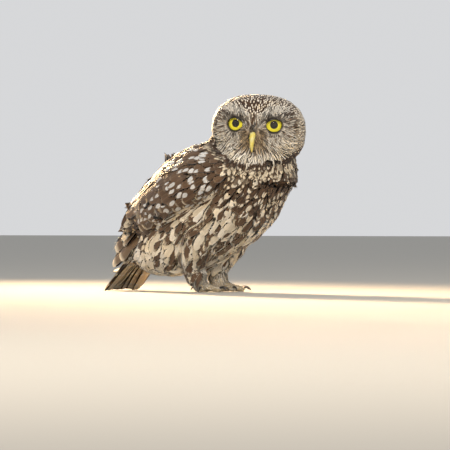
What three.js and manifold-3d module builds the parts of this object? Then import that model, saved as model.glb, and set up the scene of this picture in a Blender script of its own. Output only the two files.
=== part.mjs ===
// A little owl at life size, crouching on the floor, looking back over its right side.
// Millimetres, +Z up. The breast faces -Y and the bird's left side is +X.
// Places are given as (forward, left, up) from the point on the floor between the feet.
import * as THREE from "three";
import { mergeVertices } from "three/addons/utils/BufferGeometryUtils.js";
import Module from "manifold-3d";

const wasm = await Module();
wasm.setup();

// Driving dimensions
const GAP = 0.35;
const BILL_GAP = 0.3;
const WELD = 1e-4;
const HEAD_CENTRE = { forward: 43.8, left: 0, up: 128.4 };
const HEAD_HALF_WIDTH = 38;
const HEAD_ABOVE = 29;
const HEAD_BELOW = 31;
const HEAD_AHEAD = 24;
const HEAD_BEHIND = 33;
const HEAD_SQUARENESS = 2.4;
const HEAD_TURN = 60;
const HEAD_ROLL = 2.8;
const HEAD_NOD = 3;
const EYE_RADIUS = 8.2;
const EYE_APART = 14.2;
const EYE_RISE = 5.6;
const EYE_DEPTH = 13.4;
const EYE_SPLAY = 14;
const CORNEA_RISE = 1.3;
const BILL_HALF_WIDTH = 3.1;
const BILL_HALF_HEIGHT = 3.0;
const BILL_TAPER = 0.6;
const LOWER_BILL_HALF_WIDTH = 2.4;
const LOWER_BILL_HALF_HEIGHT = 1.3;
const BODY_PITCH = 42;
const FOOT_APART = 13;
const TOE_RADIUS = 3.1;
const CLAW_LENGTH = 8.5;
const CLAW_RADIUS = 1.45;
const CLAW_OVERLAP = 3.2;
const TAIL_PITCH = 46;
const TAIL_BASE = { forward: -63, up: 46 };
const TAIL_TIPS = 6;
const TAIL_ROOT_HALF_WIDTH = 12;
const TAIL_HALF_WIDTH = 20;
const TAIL_SCALLOP = 2.6;
const TAIL_ROOF = 3.5;
const TAIL_ROOT = -8;
const TAIL_FLAT = 0.5;
const TAIL_ROOT_THICKNESS = 9;
const TAIL_TIP_THICKNESS = 1.8;
const COVERT_THICKNESS = 1.4;
const COVERT_HALF_WIDTH = 8.5;
const COVERT_SAG = 2;
const WING_THICKNESS = 7.5;
const WING_TIP_THICKNESS = 2;
const WING_SIDES = 14;
const WING_SCALLOP = 0.02;
const COLLAR = { forward: 40, up: 95, slope: 16 };

// Colours of the sub-parts
const finish = (colour, roughness = 0.9) => new THREE.MeshStandardMaterial({ color: colour, roughness, metalness: 0 });
const CREAM = "#b9ab93";
const BROWN = "#6b5642";
const PALE = "#d8cfbd";
const BUFF = "#a08a6c";
const HORN = "#2b2622";
const BILL_YELLOW = "#c8bf5a";
const IRIS_YELLOW = "#d8d23a";

const degrees = THREE.MathUtils.degToRad;
const place = (forward, left, up) => new THREE.Vector3(left, -forward, up);

// A closed body: every point of a ball is moved to pointAt(along, round),
// along running 0..1 from pole to pole and round 0..1 about the axis.
function bodyOf(sides, rings, pointAt) {
  const ball = new THREE.SphereGeometry(1, sides, rings);
  const position = ball.getAttribute("position");
  const uv = ball.getAttribute("uv");
  for (let i = 0; i < position.count; i++) {
    const ring = Math.round((1 - uv.getY(i)) * rings);
    const onPole = ring === 0 || ring === rings;
    const side = onPole ? 0 : Math.round(uv.getX(i) * sides) % sides;
    const point = pointAt(ring / rings, side / sides);
    position.setXYZ(i, point.x, point.y, point.z);
  }
  return closed(ball);
}

// Shares the vertices and turns the faces outwards.
function closed(geometry) {
  geometry.deleteAttribute("normal");
  geometry.deleteAttribute("uv");
  const merged = mergeVertices(geometry, WELD);
  const index = merged.getIndex().array;
  const corner = [0, 1, 2].map(() => new THREE.Vector3());
  let volume = 0;
  for (let i = 0; i < index.length; i += 3) {
    corner.forEach((c, k) => c.fromBufferAttribute(merged.getAttribute("position"), index[i + k]));
    volume += corner[0].dot(corner[1].clone().cross(corner[2]));
  }
  if (volume < 0) {
    for (let i = 0; i < index.length; i += 3) {
      [index[i], index[i + 1]] = [index[i + 1], index[i]];
    }
  }
  return merged;
}

// The same body with its surface moved out by `gap` along its normals.
function grown(geometry, gap) {
  const copy = geometry.clone();
  copy.computeVertexNormals();
  const position = copy.getAttribute("position");
  const normal = copy.getAttribute("normal");
  for (let i = 0; i < position.count; i++) {
    position.setXYZ(
      i,
      position.getX(i) + gap * normal.getX(i),
      position.getY(i) + gap * normal.getY(i),
      position.getZ(i) + gap * normal.getZ(i),
    );
  }
  copy.deleteAttribute("normal");
  return copy;
}

function solidOf(geometry) {
  return new wasm.Manifold(
    new wasm.Mesh({
      numProp: 3,
      vertProperties: new Float32Array(geometry.getAttribute("position").array),
      triVerts: new Uint32Array(geometry.getIndex().array),
    }),
  );
}

function geometryOf(solid) {
  const mesh = solid.getMesh();
  const geometry = new THREE.BufferGeometry();
  geometry.setAttribute("position", new THREE.BufferAttribute(new Float32Array(mesh.vertProperties), 3));
  geometry.setIndex(new THREE.BufferAttribute(new Uint32Array(mesh.triVerts), 1));
  return geometry;
}

const shared = (one, other) => geometryOf(solidOf(one).intersect(solidOf(other)));
const joined = (pieces) => geometryOf(wasm.Manifold.union(pieces.map(solidOf)));

// Cuts the grown cutters out of a body and keeps the largest remaining piece.
function cut(geometry, cutters, gap = GAP) {
  let solid = solidOf(geometry);
  for (const cutter of cutters) solid = solid.subtract(solidOf(grown(cutter, gap)));
  const pieces = solid.decompose().sort((a, b) => b.volume() - a.volume());
  return geometryOf(pieces[0]);
}

// A tapering round body through stations { at, wide, deep }: wide is the half-width across,
// deep the half-depth towards `above`.
function limb(stations, above, sides, rings) {
  const spine = new THREE.CatmullRomCurve3(stations.map((s) => s.at), false, "centripetal");
  const sizes = new THREE.CatmullRomCurve3(
    stations.map((s) => new THREE.Vector3(s.wide, s.deep, 0)), false, "centripetal");
  return bodyOf(sides, rings, (along, round) => {
    const t = 0.5 - 0.5 * Math.cos(Math.PI * along);
    const centre = spine.getPoint(t);
    const ahead = spine.getTangent(t);
    const across = new THREE.Vector3().crossVectors(ahead, above).normalize();
    const up = new THREE.Vector3().crossVectors(across, ahead);
    const size = sizes.getPoint(t);
    const swell = Math.sqrt(1 - Math.abs(2 * along - 1) ** 5);
    const turn = 2 * Math.PI * round;
    return centre
      .addScaledVector(across, size.x * swell * Math.cos(turn))
      .addScaledVector(up, size.y * swell * Math.sin(turn));
  });
}

// A covert feather from root to tip with a rounded end, its broad side facing `out`.
function covert(root, tip, out) {
  const rings = 7;
  const ahead = new THREE.Vector3().subVectors(tip, root).normalize();
  const across = new THREE.Vector3().crossVectors(ahead, out).normalize();
  const up = new THREE.Vector3().crossVectors(across, ahead);
  return bodyOf(4, rings, (along, round) => {
    const t = 1 - (1 - along) ** 1.8;
    const open = Math.min(1, 0.55 + 0.9 * t) * Math.sqrt(Math.max(0, 1 - t ** 7)) * Math.min(1, 8 * t);
    const thick = COVERT_THICKNESS * Math.min(1, 6 * t, 8 * (1 - t));
    const turn = 2 * Math.PI * round;
    return root
      .clone()
      .lerp(tip, t)
      .addScaledVector(across, COVERT_HALF_WIDTH * open * Math.cos(turn))
      .addScaledVector(up, 0.5 * thick * Math.sin(turn) + COVERT_SAG * 4 * t * (1 - t));
  });
}

// The room under the floor: cutting it away leaves the small flats on which the bird rests.
const UNDER_FLOOR = closed(new THREE.BoxGeometry(400, 400, 20).translate(0, 0, -10));

// Head
const headForward = new THREE.Vector3(0, -1, 0)
  .applyAxisAngle(new THREE.Vector3(0, 0, 1), -degrees(HEAD_TURN));
const levelLeft = new THREE.Vector3().crossVectors(new THREE.Vector3(0, 0, 1), headForward).normalize();
headForward.applyAxisAngle(levelLeft, degrees(HEAD_NOD));
const headLeft = levelLeft.clone().applyAxisAngle(headForward, -degrees(HEAD_ROLL));
const headUp = new THREE.Vector3().crossVectors(headForward, headLeft);
const headCentre = place(HEAD_CENTRE.forward, HEAD_CENTRE.left, HEAD_CENTRE.up);

// A place given from the middle of the head in the head's own directions.
const inHead = (forward, left, up) =>
  headCentre
    .clone()
    .addScaledVector(headForward, forward)
    .addScaledVector(headLeft, left)
    .addScaledVector(headUp, up);

const bump = (x, y, x0, y0, spreadX, spreadY) =>
  Math.exp(-(((x - x0) / spreadX) ** 2) - ((y - y0) / spreadY) ** 2);

// How far the face stands out or in (mm) at a place `left` and `up` of the middle of the face.
function faceRelief(left, up) {
  const side = Math.abs(left);
  const browLine = 10.5 + 0.16 * side;
  const brow = 2.6 * Math.exp(-(((up - browLine) / 3.6) ** 2)) * Math.exp(-(((side - 14) / 13) ** 2));
  const dish = -3.0 * bump(side, up, EYE_APART + 1.5, 1.5, 11, 9);
  const bridge = 3.4 * bump(left, up, 0, -1, 6.5, 9);
  const whiskers = 2.2 * bump(left, up, 0, -9, 13, 7);
  const cheek = 1.6 * bump(side, up, 21, -14, 11, 8);
  return brow + dish + bridge + whiskers + cheek;
}

function headPoint(along, round) {
  const open = Math.PI * along ** 1.18;
  const turn = 2 * Math.PI * round;
  const f = Math.cos(open);
  const l = Math.sin(open) * Math.cos(turn);
  const u = Math.sin(open) * Math.sin(turn);
  const p = HEAD_SQUARENESS;
  const ahead = f > 0 ? HEAD_AHEAD : HEAD_BEHIND;
  const height = u > 0 ? HEAD_ABOVE : HEAD_BELOW;
  const reach =
    (Math.abs(f / ahead) ** p + Math.abs(l / HEAD_HALF_WIDTH) ** p + Math.abs(u / height) ** p) ** (-1 / p);
  const facing = THREE.MathUtils.smoothstep(f, 0.05, 0.6);
  const relief = facing * faceRelief(l * reach, u * reach);
  return inHead(f * reach + relief, l * reach, u * reach);
}
const headWhole = bodyOf(24, 17, headPoint);

// Eyes: a ball with the clear dome of the cornea standing out of it.
function eye(side) {
  const middle = inHead(EYE_DEPTH, side * EYE_APART, EYE_RISE);
  const gaze = headForward.clone().applyAxisAngle(headUp, side * degrees(EYE_SPLAY));
  const across = new THREE.Vector3().crossVectors(headUp, gaze).normalize();
  return bodyOf(12, 8, (along, round) => {
    const open = Math.PI * along;
    const turn = 2 * Math.PI * round;
    const dome = CORNEA_RISE * THREE.MathUtils.smoothstep(Math.cos(open), 0.62, 1);
    const out = EYE_RADIUS * Math.cos(open) + dome;
    const wide = EYE_RADIUS * Math.sin(open);
    return middle
      .clone()
      .addScaledVector(gaze, out)
      .addScaledVector(across, wide * Math.cos(turn))
      .addScaledVector(headUp, wide * Math.sin(turn));
  });
}
const eyeRight = eye(-1);
const eyeLeft = eye(1);

// Bill: the upper half hooks down over the short lower half.
function billUpper() {
  const arc = new THREE.CatmullRomCurve3([
    inHead(17.5, 0, -0.5),
    inHead(24.4, 0, -2.0),
    inHead(28.2, 0, -6.4),
    inHead(28.8, 0, -11.6),
    inHead(27.2, 0, -16.2),
  ]);
  return bodyOf(10, 9, (along, round) => {
    const centre = arc.getPoint(along);
    const ahead = arc.getTangent(along);
    const crest = new THREE.Vector3().crossVectors(ahead, headLeft).negate().normalize();
    const turn = 2 * Math.PI * round;
    const close = Math.min(1, 6 * along) * (1 - along) ** BILL_TAPER;
    return centre
      .addScaledVector(headLeft, BILL_HALF_WIDTH * close * Math.cos(turn))
      .addScaledVector(crest, BILL_HALF_HEIGHT * close * Math.sin(turn));
  });
}
function billLower() {
  const root = inHead(16, 0, -8.2);
  const tip = inHead(25.6, 0, -12.0);
  return bodyOf(8, 6, (along, round) => {
    const turn = 2 * Math.PI * round;
    const close = Math.min(1, 6 * along) * (1 - along) ** BILL_TAPER;
    return root
      .clone()
      .lerp(tip, along)
      .addScaledVector(headLeft, LOWER_BILL_HALF_WIDTH * close * Math.cos(turn))
      .addScaledVector(headUp, LOWER_BILL_HALF_HEIGHT * close * Math.sin(turn));
  });
}
const upperBill = billUpper();
const lowerBill = cut(billLower(), [upperBill], BILL_GAP);

// Trunk: round sections along an axis pitched up towards the neck. `along` runs up the axis from
// under the feet's midpoint and `rise` stands square to it, away from the belly.
const axisForward = Math.cos(degrees(BODY_PITCH));
const axisUp = Math.sin(degrees(BODY_PITCH));
const onAxis = (along, rise) => place(along * axisForward - rise * axisUp, 0, along * axisUp + rise * axisForward);
const backwardsUp = onAxis(0, 1);
const trunkWhole = limb(
  [
    { at: onAxis(119, 32), wide: 23, deep: 16 },
    { at: onAxis(109, 37), wide: 33, deep: 28 },
    { at: onAxis(87, 47), wide: 39, deep: 43.5 },
    { at: onAxis(62, 50.5), wide: 39, deep: 45.5 },
    { at: onAxis(38, 53.5), wide: 38, deep: 43 },
    { at: onAxis(14, 56.2), wide: 34, deep: 37.7 },
    { at: onAxis(-9, 59), wide: 29, deep: 30 },
    { at: onAxis(-29, 64), wide: 22, deep: 19 },
    { at: onAxis(-42, 67), wide: 14, deep: 9 },
  ],
  backwardsUp, 20, 14);

// Neck: a thick ruff that carries the head and turns with it only a little.
const neckWhole = limb(
  [
    { at: place(42, 2, 78), wide: 32, deep: 31 },
    { at: place(41, 2, 93), wide: 37, deep: 34 },
    { at: place(34, 2, 103), wide: 32, deep: 29 },
    { at: place(22, -3, 113), wide: 26, deep: 25 },
    { at: place(17, -6, 128), wide: 20, deep: 17 },
  ],
  place(-1, 0, 0), 18, 9);

// Everything above the sloping collar belongs to the neck.
const aboveCollar = closed(
  new THREE.BoxGeometry(200, 200, 100)
    .translate(0, 0, 50)
    .rotateX(degrees(COLLAR.slope))
    .translate(0, -COLLAR.forward, COLLAR.up));
const torso = joined([trunkWhole, neckWhole]);

// Wings: a lens-shaped folded wing wrapped round the side of the trunk, scalloped at its end
// by the tips of the flight feathers.
function wing(side) {
  const edge = (points) => new THREE.CatmullRomCurve3(points.map(([f, l, u]) => place(f, side * l, u)));
  const upper = edge([[40, 18, 106], [12, 19, 118], [-18, 20, 113], [-46, 19, 94.3], [-71, 17, 73.7], [-92, 13.5, 51]]);
  const middle = edge([[50, 34, 94], [24, 43, 98], [-7, 44.5, 90], [-38, 37, 75], [-66, 25, 61], [-92, 15, 46]]);
  const lower = edge([[46, 33, 84], [24, 42, 76], [-4, 42, 65], [-34, 34, 56], [-62, 23, 50], [-89, 14, 44]]);
  const surface = (t, v) => {
    const a = upper.getPoint(t);
    const b = middle.getPoint(t);
    const c = lower.getPoint(t);
    return a
      .multiplyScalar((1 - v) * (1 - 2 * v))
      .addScaledVector(b, 4 * v * (1 - v))
      .addScaledVector(c, v * (2 * v - 1));
  };
  const outward = (t, v) => {
    const step = 0.01;
    const alongWing = surface(t + step, v).sub(surface(t - step, v));
    const acrossWing = surface(t, v + step).sub(surface(t, v - step));
    const normal = new THREE.Vector3().crossVectors(acrossWing, alongWing).normalize();
    return normal.multiplyScalar(normal.dot(place(0, side, 0.4)) < 0 ? -1 : 1);
  };
  return bodyOf(WING_SIDES, 12, (along, round) => {
    const turn = 2 * Math.PI * round;
    const reach = 1 - (1 - along) ** 1.3;
    const open =
      Math.sqrt(Math.sin(Math.PI * Math.min(0.5, 2.6 * along))) * Math.sqrt(Math.max(0, 1 - reach ** 14));
    const v = 0.5 - 0.5 * open * Math.cos(turn);
    const scallop = along < 1 ? WING_SCALLOP * along ** 4 * Math.abs(Math.cos(2.5 * Math.PI * v)) : 0;
    const t = 0.012 + 0.955 * reach + scallop;
    const thick = THREE.MathUtils.lerp(WING_THICKNESS, WING_TIP_THICKNESS, along) * Math.sin(Math.PI * along) ** 0.35;
    const belly = Math.sign(Math.sin(turn)) * Math.abs(Math.sin(turn)) ** 0.8;
    return surface(t, v).addScaledVector(outward(t, v), 0.5 * thick * belly);
  });
}
const wingRight = wing(-1);
const wingLeft = wing(1);

// Tail: a fan of overlapping feathers in a shallow roof, each ending in a round tip.
const tailForward = -Math.cos(degrees(TAIL_PITCH));
const tailUp = -Math.sin(degrees(TAIL_PITCH));
const onTail = (along, left, rise) =>
  place(
    TAIL_BASE.forward + along * tailForward + rise * tailUp,
    left,
    TAIL_BASE.up + along * tailUp - rise * tailForward,
  );
function tailFan() {
  const rings = 6;
  const reachAlong = (along) => Math.min(1, (1 - (1 - along) ** 1.5) / (1 - (1 / rings) ** 1.5));
  return bodyOf(4 * TAIL_TIPS, rings, (along, round) => {
    const turn = 2 * Math.PI * round;
    const across = Math.cos(turn);
    const t = reachAlong(along);
    const open = Math.min(1, 3 * t) * (along < 1 ? 1 : 0);
    const halfWidth = THREE.MathUtils.lerp(TAIL_ROOT_HALF_WIDTH, TAIL_HALF_WIDTH, t);
    const scallop = TAIL_SCALLOP * Math.abs(Math.sin(0.5 * TAIL_TIPS * Math.acos(across))) ** 0.7;
    const rise = -TAIL_ROOF * across ** 2;
    const full = (TAIL_BASE.up - rise * tailForward + TAIL_FLAT) / -tailUp - TAIL_SCALLOP;
    const reach = THREE.MathUtils.lerp(TAIL_ROOT, full + (along < 1 ? scallop : 0), t);
    const thick = THREE.MathUtils.lerp(TAIL_ROOT_THICKNESS, TAIL_TIP_THICKNESS, Math.min(1, 1.7 * t));
    return onTail(reach, open * halfWidth * across, rise * open + 0.5 * thick * open * Math.sin(turn));
  });
}
const tailWhole = tailFan();

// Upper tail coverts: long soft feathers over the root of the tail, stepping down beneath the wings.
const covertsFace = place(-0.6, 0, 0.8);
const coverts = joined([
  limb(
    [
      { at: place(-44, 0, 60), wide: 17, deep: 11 },
      { at: place(-64, 0, 53), wide: 16, deep: 9 },
      { at: place(-84, 0, 34), wide: 13, deep: 4.5 },
      { at: place(-94, 0, 22), wide: 9, deep: 2.5 },
    ],
    place(0, 0, 1), 10, 6),
  covert(place(-62, -6, 60), place(-100, -8, 33), covertsFace),
  covert(place(-62, 6, 60), place(-96, 8, 32), covertsFace),
  covert(place(-62, -5, 50), place(-104, -7, 20), covertsFace),
  covert(place(-62, 5, 50), place(-100, 7, 19), covertsFace),
]);

// Legs: a feathered thigh against the belly, a short feathered shank and a foot of four toes.
function thigh(side) {
  return limb(
    [
      { at: place(5, side * 24, 54), wide: 11, deep: 12 },
      { at: place(-3, side * 21, 38), wide: 12, deep: 13 },
      { at: place(-10, side * 17, 23), wide: 9, deep: 10 },
      { at: place(-12, side * 14, 11), wide: 7, deep: 8 },
    ],
    place(1, 0, 0), 14, 9);
}
function shank(side) {
  return limb(
    [
      { at: place(-12, side * 14, 19), wide: 8, deep: 8.5 },
      { at: place(-8, side * 13.5, 10), wide: 6.6, deep: 7.2 },
      { at: place(-3, side * FOOT_APART, 3), wide: 5, deep: 5.4 },
    ],
    place(1, 0, 0), 12, 6);
}
const TOES = [
  { name: "inner", heading: 24, length: 15 },
  { name: "middle", heading: -6, length: 19 },
  { name: "outer", heading: -62, length: 15 },
  { name: "hind", heading: 168, length: 12.5 },
];
// The level direction of a toe: `heading` degrees in from straight ahead.
const toeAhead = (side, heading) => place(Math.cos(degrees(heading)), -side * Math.sin(degrees(heading)), 0);

function toe(side, { heading, length }) {
  const ahead = toeAhead(side, heading);
  const start = place(-1, side * FOOT_APART, 0);
  const station = (distance, up, wide, deep) => ({
    at: start.clone().addScaledVector(ahead, distance).setZ(up),
    wide,
    deep,
  });
  return limb(
    [
      station(-3, 4.2, TOE_RADIUS * 0.9, TOE_RADIUS),
      station(0.4 * length, 3.4, TOE_RADIUS, TOE_RADIUS * 1.05),
      station(0.7 * length, 2.5, TOE_RADIUS * 0.92, TOE_RADIUS * 0.9),
      station(length, 2.4, TOE_RADIUS * 0.9, TOE_RADIUS * 0.9),
    ],
    new THREE.Vector3(0, 0, 1), 7, 5);
}
function claw(side, { heading, length }) {
  const ahead = toeAhead(side, heading);
  const root = place(-1, side * FOOT_APART, 0).addScaledVector(ahead, length - CLAW_OVERLAP);
  const arc = new THREE.CatmullRomCurve3([
    root.clone().setZ(3.0),
    root.clone().addScaledVector(ahead, 0.45 * CLAW_LENGTH).setZ(4.1),
    root.clone().addScaledVector(ahead, 0.85 * CLAW_LENGTH).setZ(3.3),
    root.clone().addScaledVector(ahead, 1.12 * CLAW_LENGTH).setZ(0.55),
  ]);
  return bodyOf(6, 6, (along, round) => {
    const centre = arc.getPoint(along);
    const tangent = arc.getTangent(along);
    const across = new THREE.Vector3().crossVectors(tangent, new THREE.Vector3(0, 0, 1)).normalize();
    const up = new THREE.Vector3().crossVectors(across, tangent);
    const radius = CLAW_RADIUS * Math.min(1, 5 * along) * (1 - along) ** 0.6;
    const turn = 2 * Math.PI * round;
    return centre
      .addScaledVector(across, radius * Math.cos(turn))
      .addScaledVector(up, radius * Math.sin(turn));
  });
}
function foot(side) {
  const pad = limb(
    [
      { at: place(-8, side * FOOT_APART, 4.2), wide: 4.6, deep: 4.4 },
      { at: place(4, side * FOOT_APART, 3.6), wide: 4.6, deep: 4.2 },
    ],
    new THREE.Vector3(0, 0, 1), 10, 4);
  return joined([pad, ...TOES.map((t) => toe(side, t))]);
}

// The whole bird: each sub-part is parted from its neighbours by a thin gap.
const owl = new THREE.Group();
const bird = new THREE.Group();
owl.add(bird);
function add(name, geometry, material) {
  const mesh = new THREE.Mesh(geometry, material);
  mesh.name = name;
  bird.add(mesh);
}

add("head", cut(headWhole, [eyeRight, eyeLeft, upperBill, billLower()]), finish(CREAM));
add("eye_right", eyeRight, finish(IRIS_YELLOW, 0.1));
add("eye_left", eyeLeft, finish(IRIS_YELLOW, 0.1));
add("bill_upper", upperBill, finish(BILL_YELLOW, 0.4));
add("bill_lower", lowerBill, finish(BILL_YELLOW, 0.4));
const neck = cut(shared(torso, aboveCollar), [headWhole, wingRight, wingLeft, upperBill, billLower()]);
add("neck", neck, finish(BROWN));

const thighs = { right: thigh(-1), left: thigh(1) };
const trunk = cut(torso, [
  aboveCollar, headWhole, wingRight, wingLeft, tailWhole, coverts, thighs.right, thighs.left,
]);
add("trunk", trunk, finish(CREAM));
add("wing_right", cut(wingRight, [headWhole]), finish(BROWN));
add("wing_left", cut(wingLeft, [headWhole]), finish(BROWN));
add("tail_coverts", cut(coverts, [wingRight, wingLeft]), finish(BUFF));
add("tail", cut(cut(tailWhole, [coverts, wingRight, wingLeft]), [UNDER_FLOOR], 0), finish(BUFF));

for (const [name, side] of [["right", -1], ["left", 1]]) {
  const lowerLeg = shank(side);
  const whole = foot(side);
  const claws = TOES.map((t) => claw(side, t));
  add(`thigh_${name}`, cut(thighs[name], [lowerLeg, whole, side > 0 ? wingLeft : wingRight]), finish(PALE));
  add(`shank_${name}`, cut(cut(lowerLeg, [whole, ...claws]), [UNDER_FLOOR], 0), finish(PALE));
  add(`foot_${name}`, cut(cut(whole, claws), [UNDER_FLOOR], 0), finish(PALE));
  TOES.forEach((t, i) => add(`claw_${name}_${t.name}`, claws[i], finish(HORN, 0.4)));
}

// The origin is the middle of the bottom of the bird's box.
const box = new THREE.Box3().setFromObject(bird);
const middle = box.getCenter(new THREE.Vector3());
bird.position.set(-middle.x, -middle.y, -box.min.z);
owl.name = "little_owl";

export default owl;
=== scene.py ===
"""A little owl, life size, standing on a pale floor with its head turned to look over its right shoulder.

One skin lies inside the solid shape by the depth of the plumage, and every feather is a thin closed vane
laid over that skin along the lie of the coat. Lengths are millimetres in a frame with x to the bird's left,
y to its rear and z up. They turn to metres only where a mesh is made.
"""

from __future__ import annotations

import logging
import math
from dataclasses import dataclass, field
from enum import Enum
from itertools import product
from typing import Callable, Sequence

import bmesh
import bpy
import numpy as np
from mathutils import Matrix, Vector
from mathutils.bvhtree import BVHTree

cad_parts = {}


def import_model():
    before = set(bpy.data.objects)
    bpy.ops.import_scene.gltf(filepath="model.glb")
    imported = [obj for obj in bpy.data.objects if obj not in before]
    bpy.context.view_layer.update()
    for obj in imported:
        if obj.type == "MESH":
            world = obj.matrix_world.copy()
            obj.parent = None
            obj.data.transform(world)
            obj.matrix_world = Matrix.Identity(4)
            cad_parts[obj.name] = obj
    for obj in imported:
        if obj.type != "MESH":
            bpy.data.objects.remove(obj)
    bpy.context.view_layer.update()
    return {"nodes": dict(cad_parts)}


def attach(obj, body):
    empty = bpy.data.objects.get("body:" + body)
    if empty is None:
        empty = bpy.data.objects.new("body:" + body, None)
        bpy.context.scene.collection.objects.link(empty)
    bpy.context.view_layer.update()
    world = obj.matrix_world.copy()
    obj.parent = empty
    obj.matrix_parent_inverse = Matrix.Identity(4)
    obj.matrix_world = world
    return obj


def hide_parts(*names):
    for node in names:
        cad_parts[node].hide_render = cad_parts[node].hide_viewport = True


LOG = logging.getLogger("little_owl")
MM = 0.001
BODY = "root"
FRAME_SHIFT = np.array([0.0, -14.3, 0.0])  # the solids' own centring, in mm
HEAD_TURN, HEAD_NOD, HEAD_ROLL = 60.0, 3.0, 2.8  # degrees to the right, down and to one side
BODY_PITCH = 42.0  # degrees that the trunk rises towards the head
DISC_HALF_WIDTH, DISC_HALF_HEIGHT = 36.0, 24.0  # the facial disc, in mm
MARKINGS = ("ground", "mark", "spot", "trace", "bars")  # the attributes of a vane
Array = np.ndarray
Material = bpy.types.Material
Piece = bpy.types.Object
Socket = bpy.types.NodeSocket


def place(forward: float, left: float, up: float) -> Array:
    """A point or direction of the bird, in mm, as x, y, z without the centring shift."""
    return np.array([left, -forward, up], float)


def spot_at(forward: float, left: float, up: float) -> Array:
    """A point of the bird in the shared frame, in mm."""
    return place(forward, left, up) + FRAME_SHIFT


def unit(vectors: Array) -> Array:
    """The vectors at length one."""
    return vectors / np.maximum(np.linalg.norm(vectors, axis=-1, keepdims=True), 1e-12)


def dot(one: Array, other: Array) -> Array:
    """Row by row dot product, kept as a column."""
    return (one * other).sum(-1, keepdims=True)


def ease(low: float, high: float, value: Array) -> Array:
    """Smooth step from 0 at low to 1 at high; low may be the larger.

    Args:
        low: where the step leaves 0.
        high: where it reaches 1.
        value: the values to step.

    Returns:
        The stepped values.
    """
    part = np.clip((value - low) / (high - low), 0.0, 1.0)
    return part * part * (3.0 - 2.0 * part)


def turned(vector: Array, axis: Array, degrees: float) -> Array:
    """The vector turned about a unit axis by so many degrees."""
    angle = math.radians(degrees)
    along = axis * float(vector @ axis)
    return along + (vector - along) * math.cos(angle) + np.cross(axis, vector) * math.sin(angle)


def linear(code: str) -> Array:
    """An sRGB hex colour as linear red, green and blue."""
    parts = np.array([int(code[i : i + 2], 16) for i in (1, 3, 5)], float) / 255.0
    return np.where(parts <= 0.04045, parts / 12.92, ((parts + 0.055) / 1.055) ** 2.4)


def rgba(code: str) -> tuple[float, float, float, float]:
    """An sRGB hex colour as a linear socket value."""
    red, green, blue = linear(code)
    return (float(red), float(green), float(blue), 1.0)


def new_object(name: str, data: bpy.types.ID) -> Piece:
    """A scene object made of a mesh, a lamp or a camera."""
    made = bpy.data.objects.new(name, data)
    bpy.context.scene.collection.objects.link(made)
    return made


def evaluated_mesh(source: Piece) -> bpy.types.Mesh:
    """A copy of the object's mesh with its modifiers applied."""
    return bpy.data.meshes.new_from_object(source.evaluated_get(bpy.context.evaluated_depsgraph_get()))


@dataclass(frozen=True)
class Axes:
    """A place with its own forward, left and up, used for the head and the body."""

    origin: Array
    forward: Array
    left: Array
    up: Array

    def out(self, forward: float, left: float, up: float) -> Array:
        """A point given in these axes, in the shared frame."""
        return self.origin + self.forward * forward + self.left * left + self.up * up

    def into(self, points: Array) -> Array:
        """Points of the shared frame as forward, left and up columns."""
        rel = points - self.origin
        return np.stack([rel @ self.forward, rel @ self.left, rel @ self.up], -1)


def head_axes() -> Axes:
    """The head's axes: turned to the bird's right, nodded down a little and tipped."""
    forward = turned(place(1, 0, 0), np.array([0, 0, 1.0]), -HEAD_TURN)
    level_left = turned(place(0, 1, 0), np.array([0, 0, 1.0]), -HEAD_TURN)
    forward = turned(forward, level_left, HEAD_NOD)
    left = turned(level_left, forward, -HEAD_ROLL)
    return Axes(spot_at(43.8, 0.0, 128.4), forward, left, np.cross(forward, left))


def body_axes(pitch: float = BODY_PITCH) -> Axes:
    """The trunk's axes, its forward rising towards the head."""
    angle = math.radians(pitch)
    forward = place(math.cos(angle), 0.0, math.sin(angle))
    up = place(-math.sin(angle), 0.0, math.cos(angle))
    return Axes(FRAME_SHIFT.copy(), forward, place(0, 1, 0), up)


HEAD = head_axes()
TRUNK = body_axes()
EYE_FORWARD, EYE_APART, EYE_UP, EYE_RADIUS, EYE_SPLAY = 13.4, 14.2, 5.6, 8.2, 14.0
BILL_ROOT = HEAD.out(19.0, 0.0, -1.0)


def eye_axes(side: int) -> Axes:
    """An eye's axes, its forward looking out of the pupil.

    Args:
        side: 1 for the bird's left, -1 for its right.

    Returns:
        The axes at the middle of the eyeball.
    """
    forward = turned(HEAD.forward, HEAD.up, side * EYE_SPLAY)
    left = turned(HEAD.left, HEAD.up, side * EYE_SPLAY)
    return Axes(HEAD.out(EYE_FORWARD, side * EYE_APART, EYE_UP), forward, left, HEAD.up)


class Tone(Enum):
    """The plumage colours, as sRGB hex values."""

    UMBER = "#3B2A20"
    BROWN = "#55402F"
    EARTH = "#6B5440"
    FAWN = "#A48766"
    BUFF = "#C9B08B"
    CREAM = "#E6DAC2"
    WHITE = "#F3EFE6"
    GREY = "#8F857A"
    SOOT = "#1C1613"
    # The white of the wing spots with painted shade: tinted cool and dimmed, as the spots look in shade.
    SHADED_SPOT_WHITE = "#E9EBEC"
    SAND = "#9C8467"

    @property
    def light(self) -> Array:
        """The colour as linear values."""
        return linear(self.value)


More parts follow.
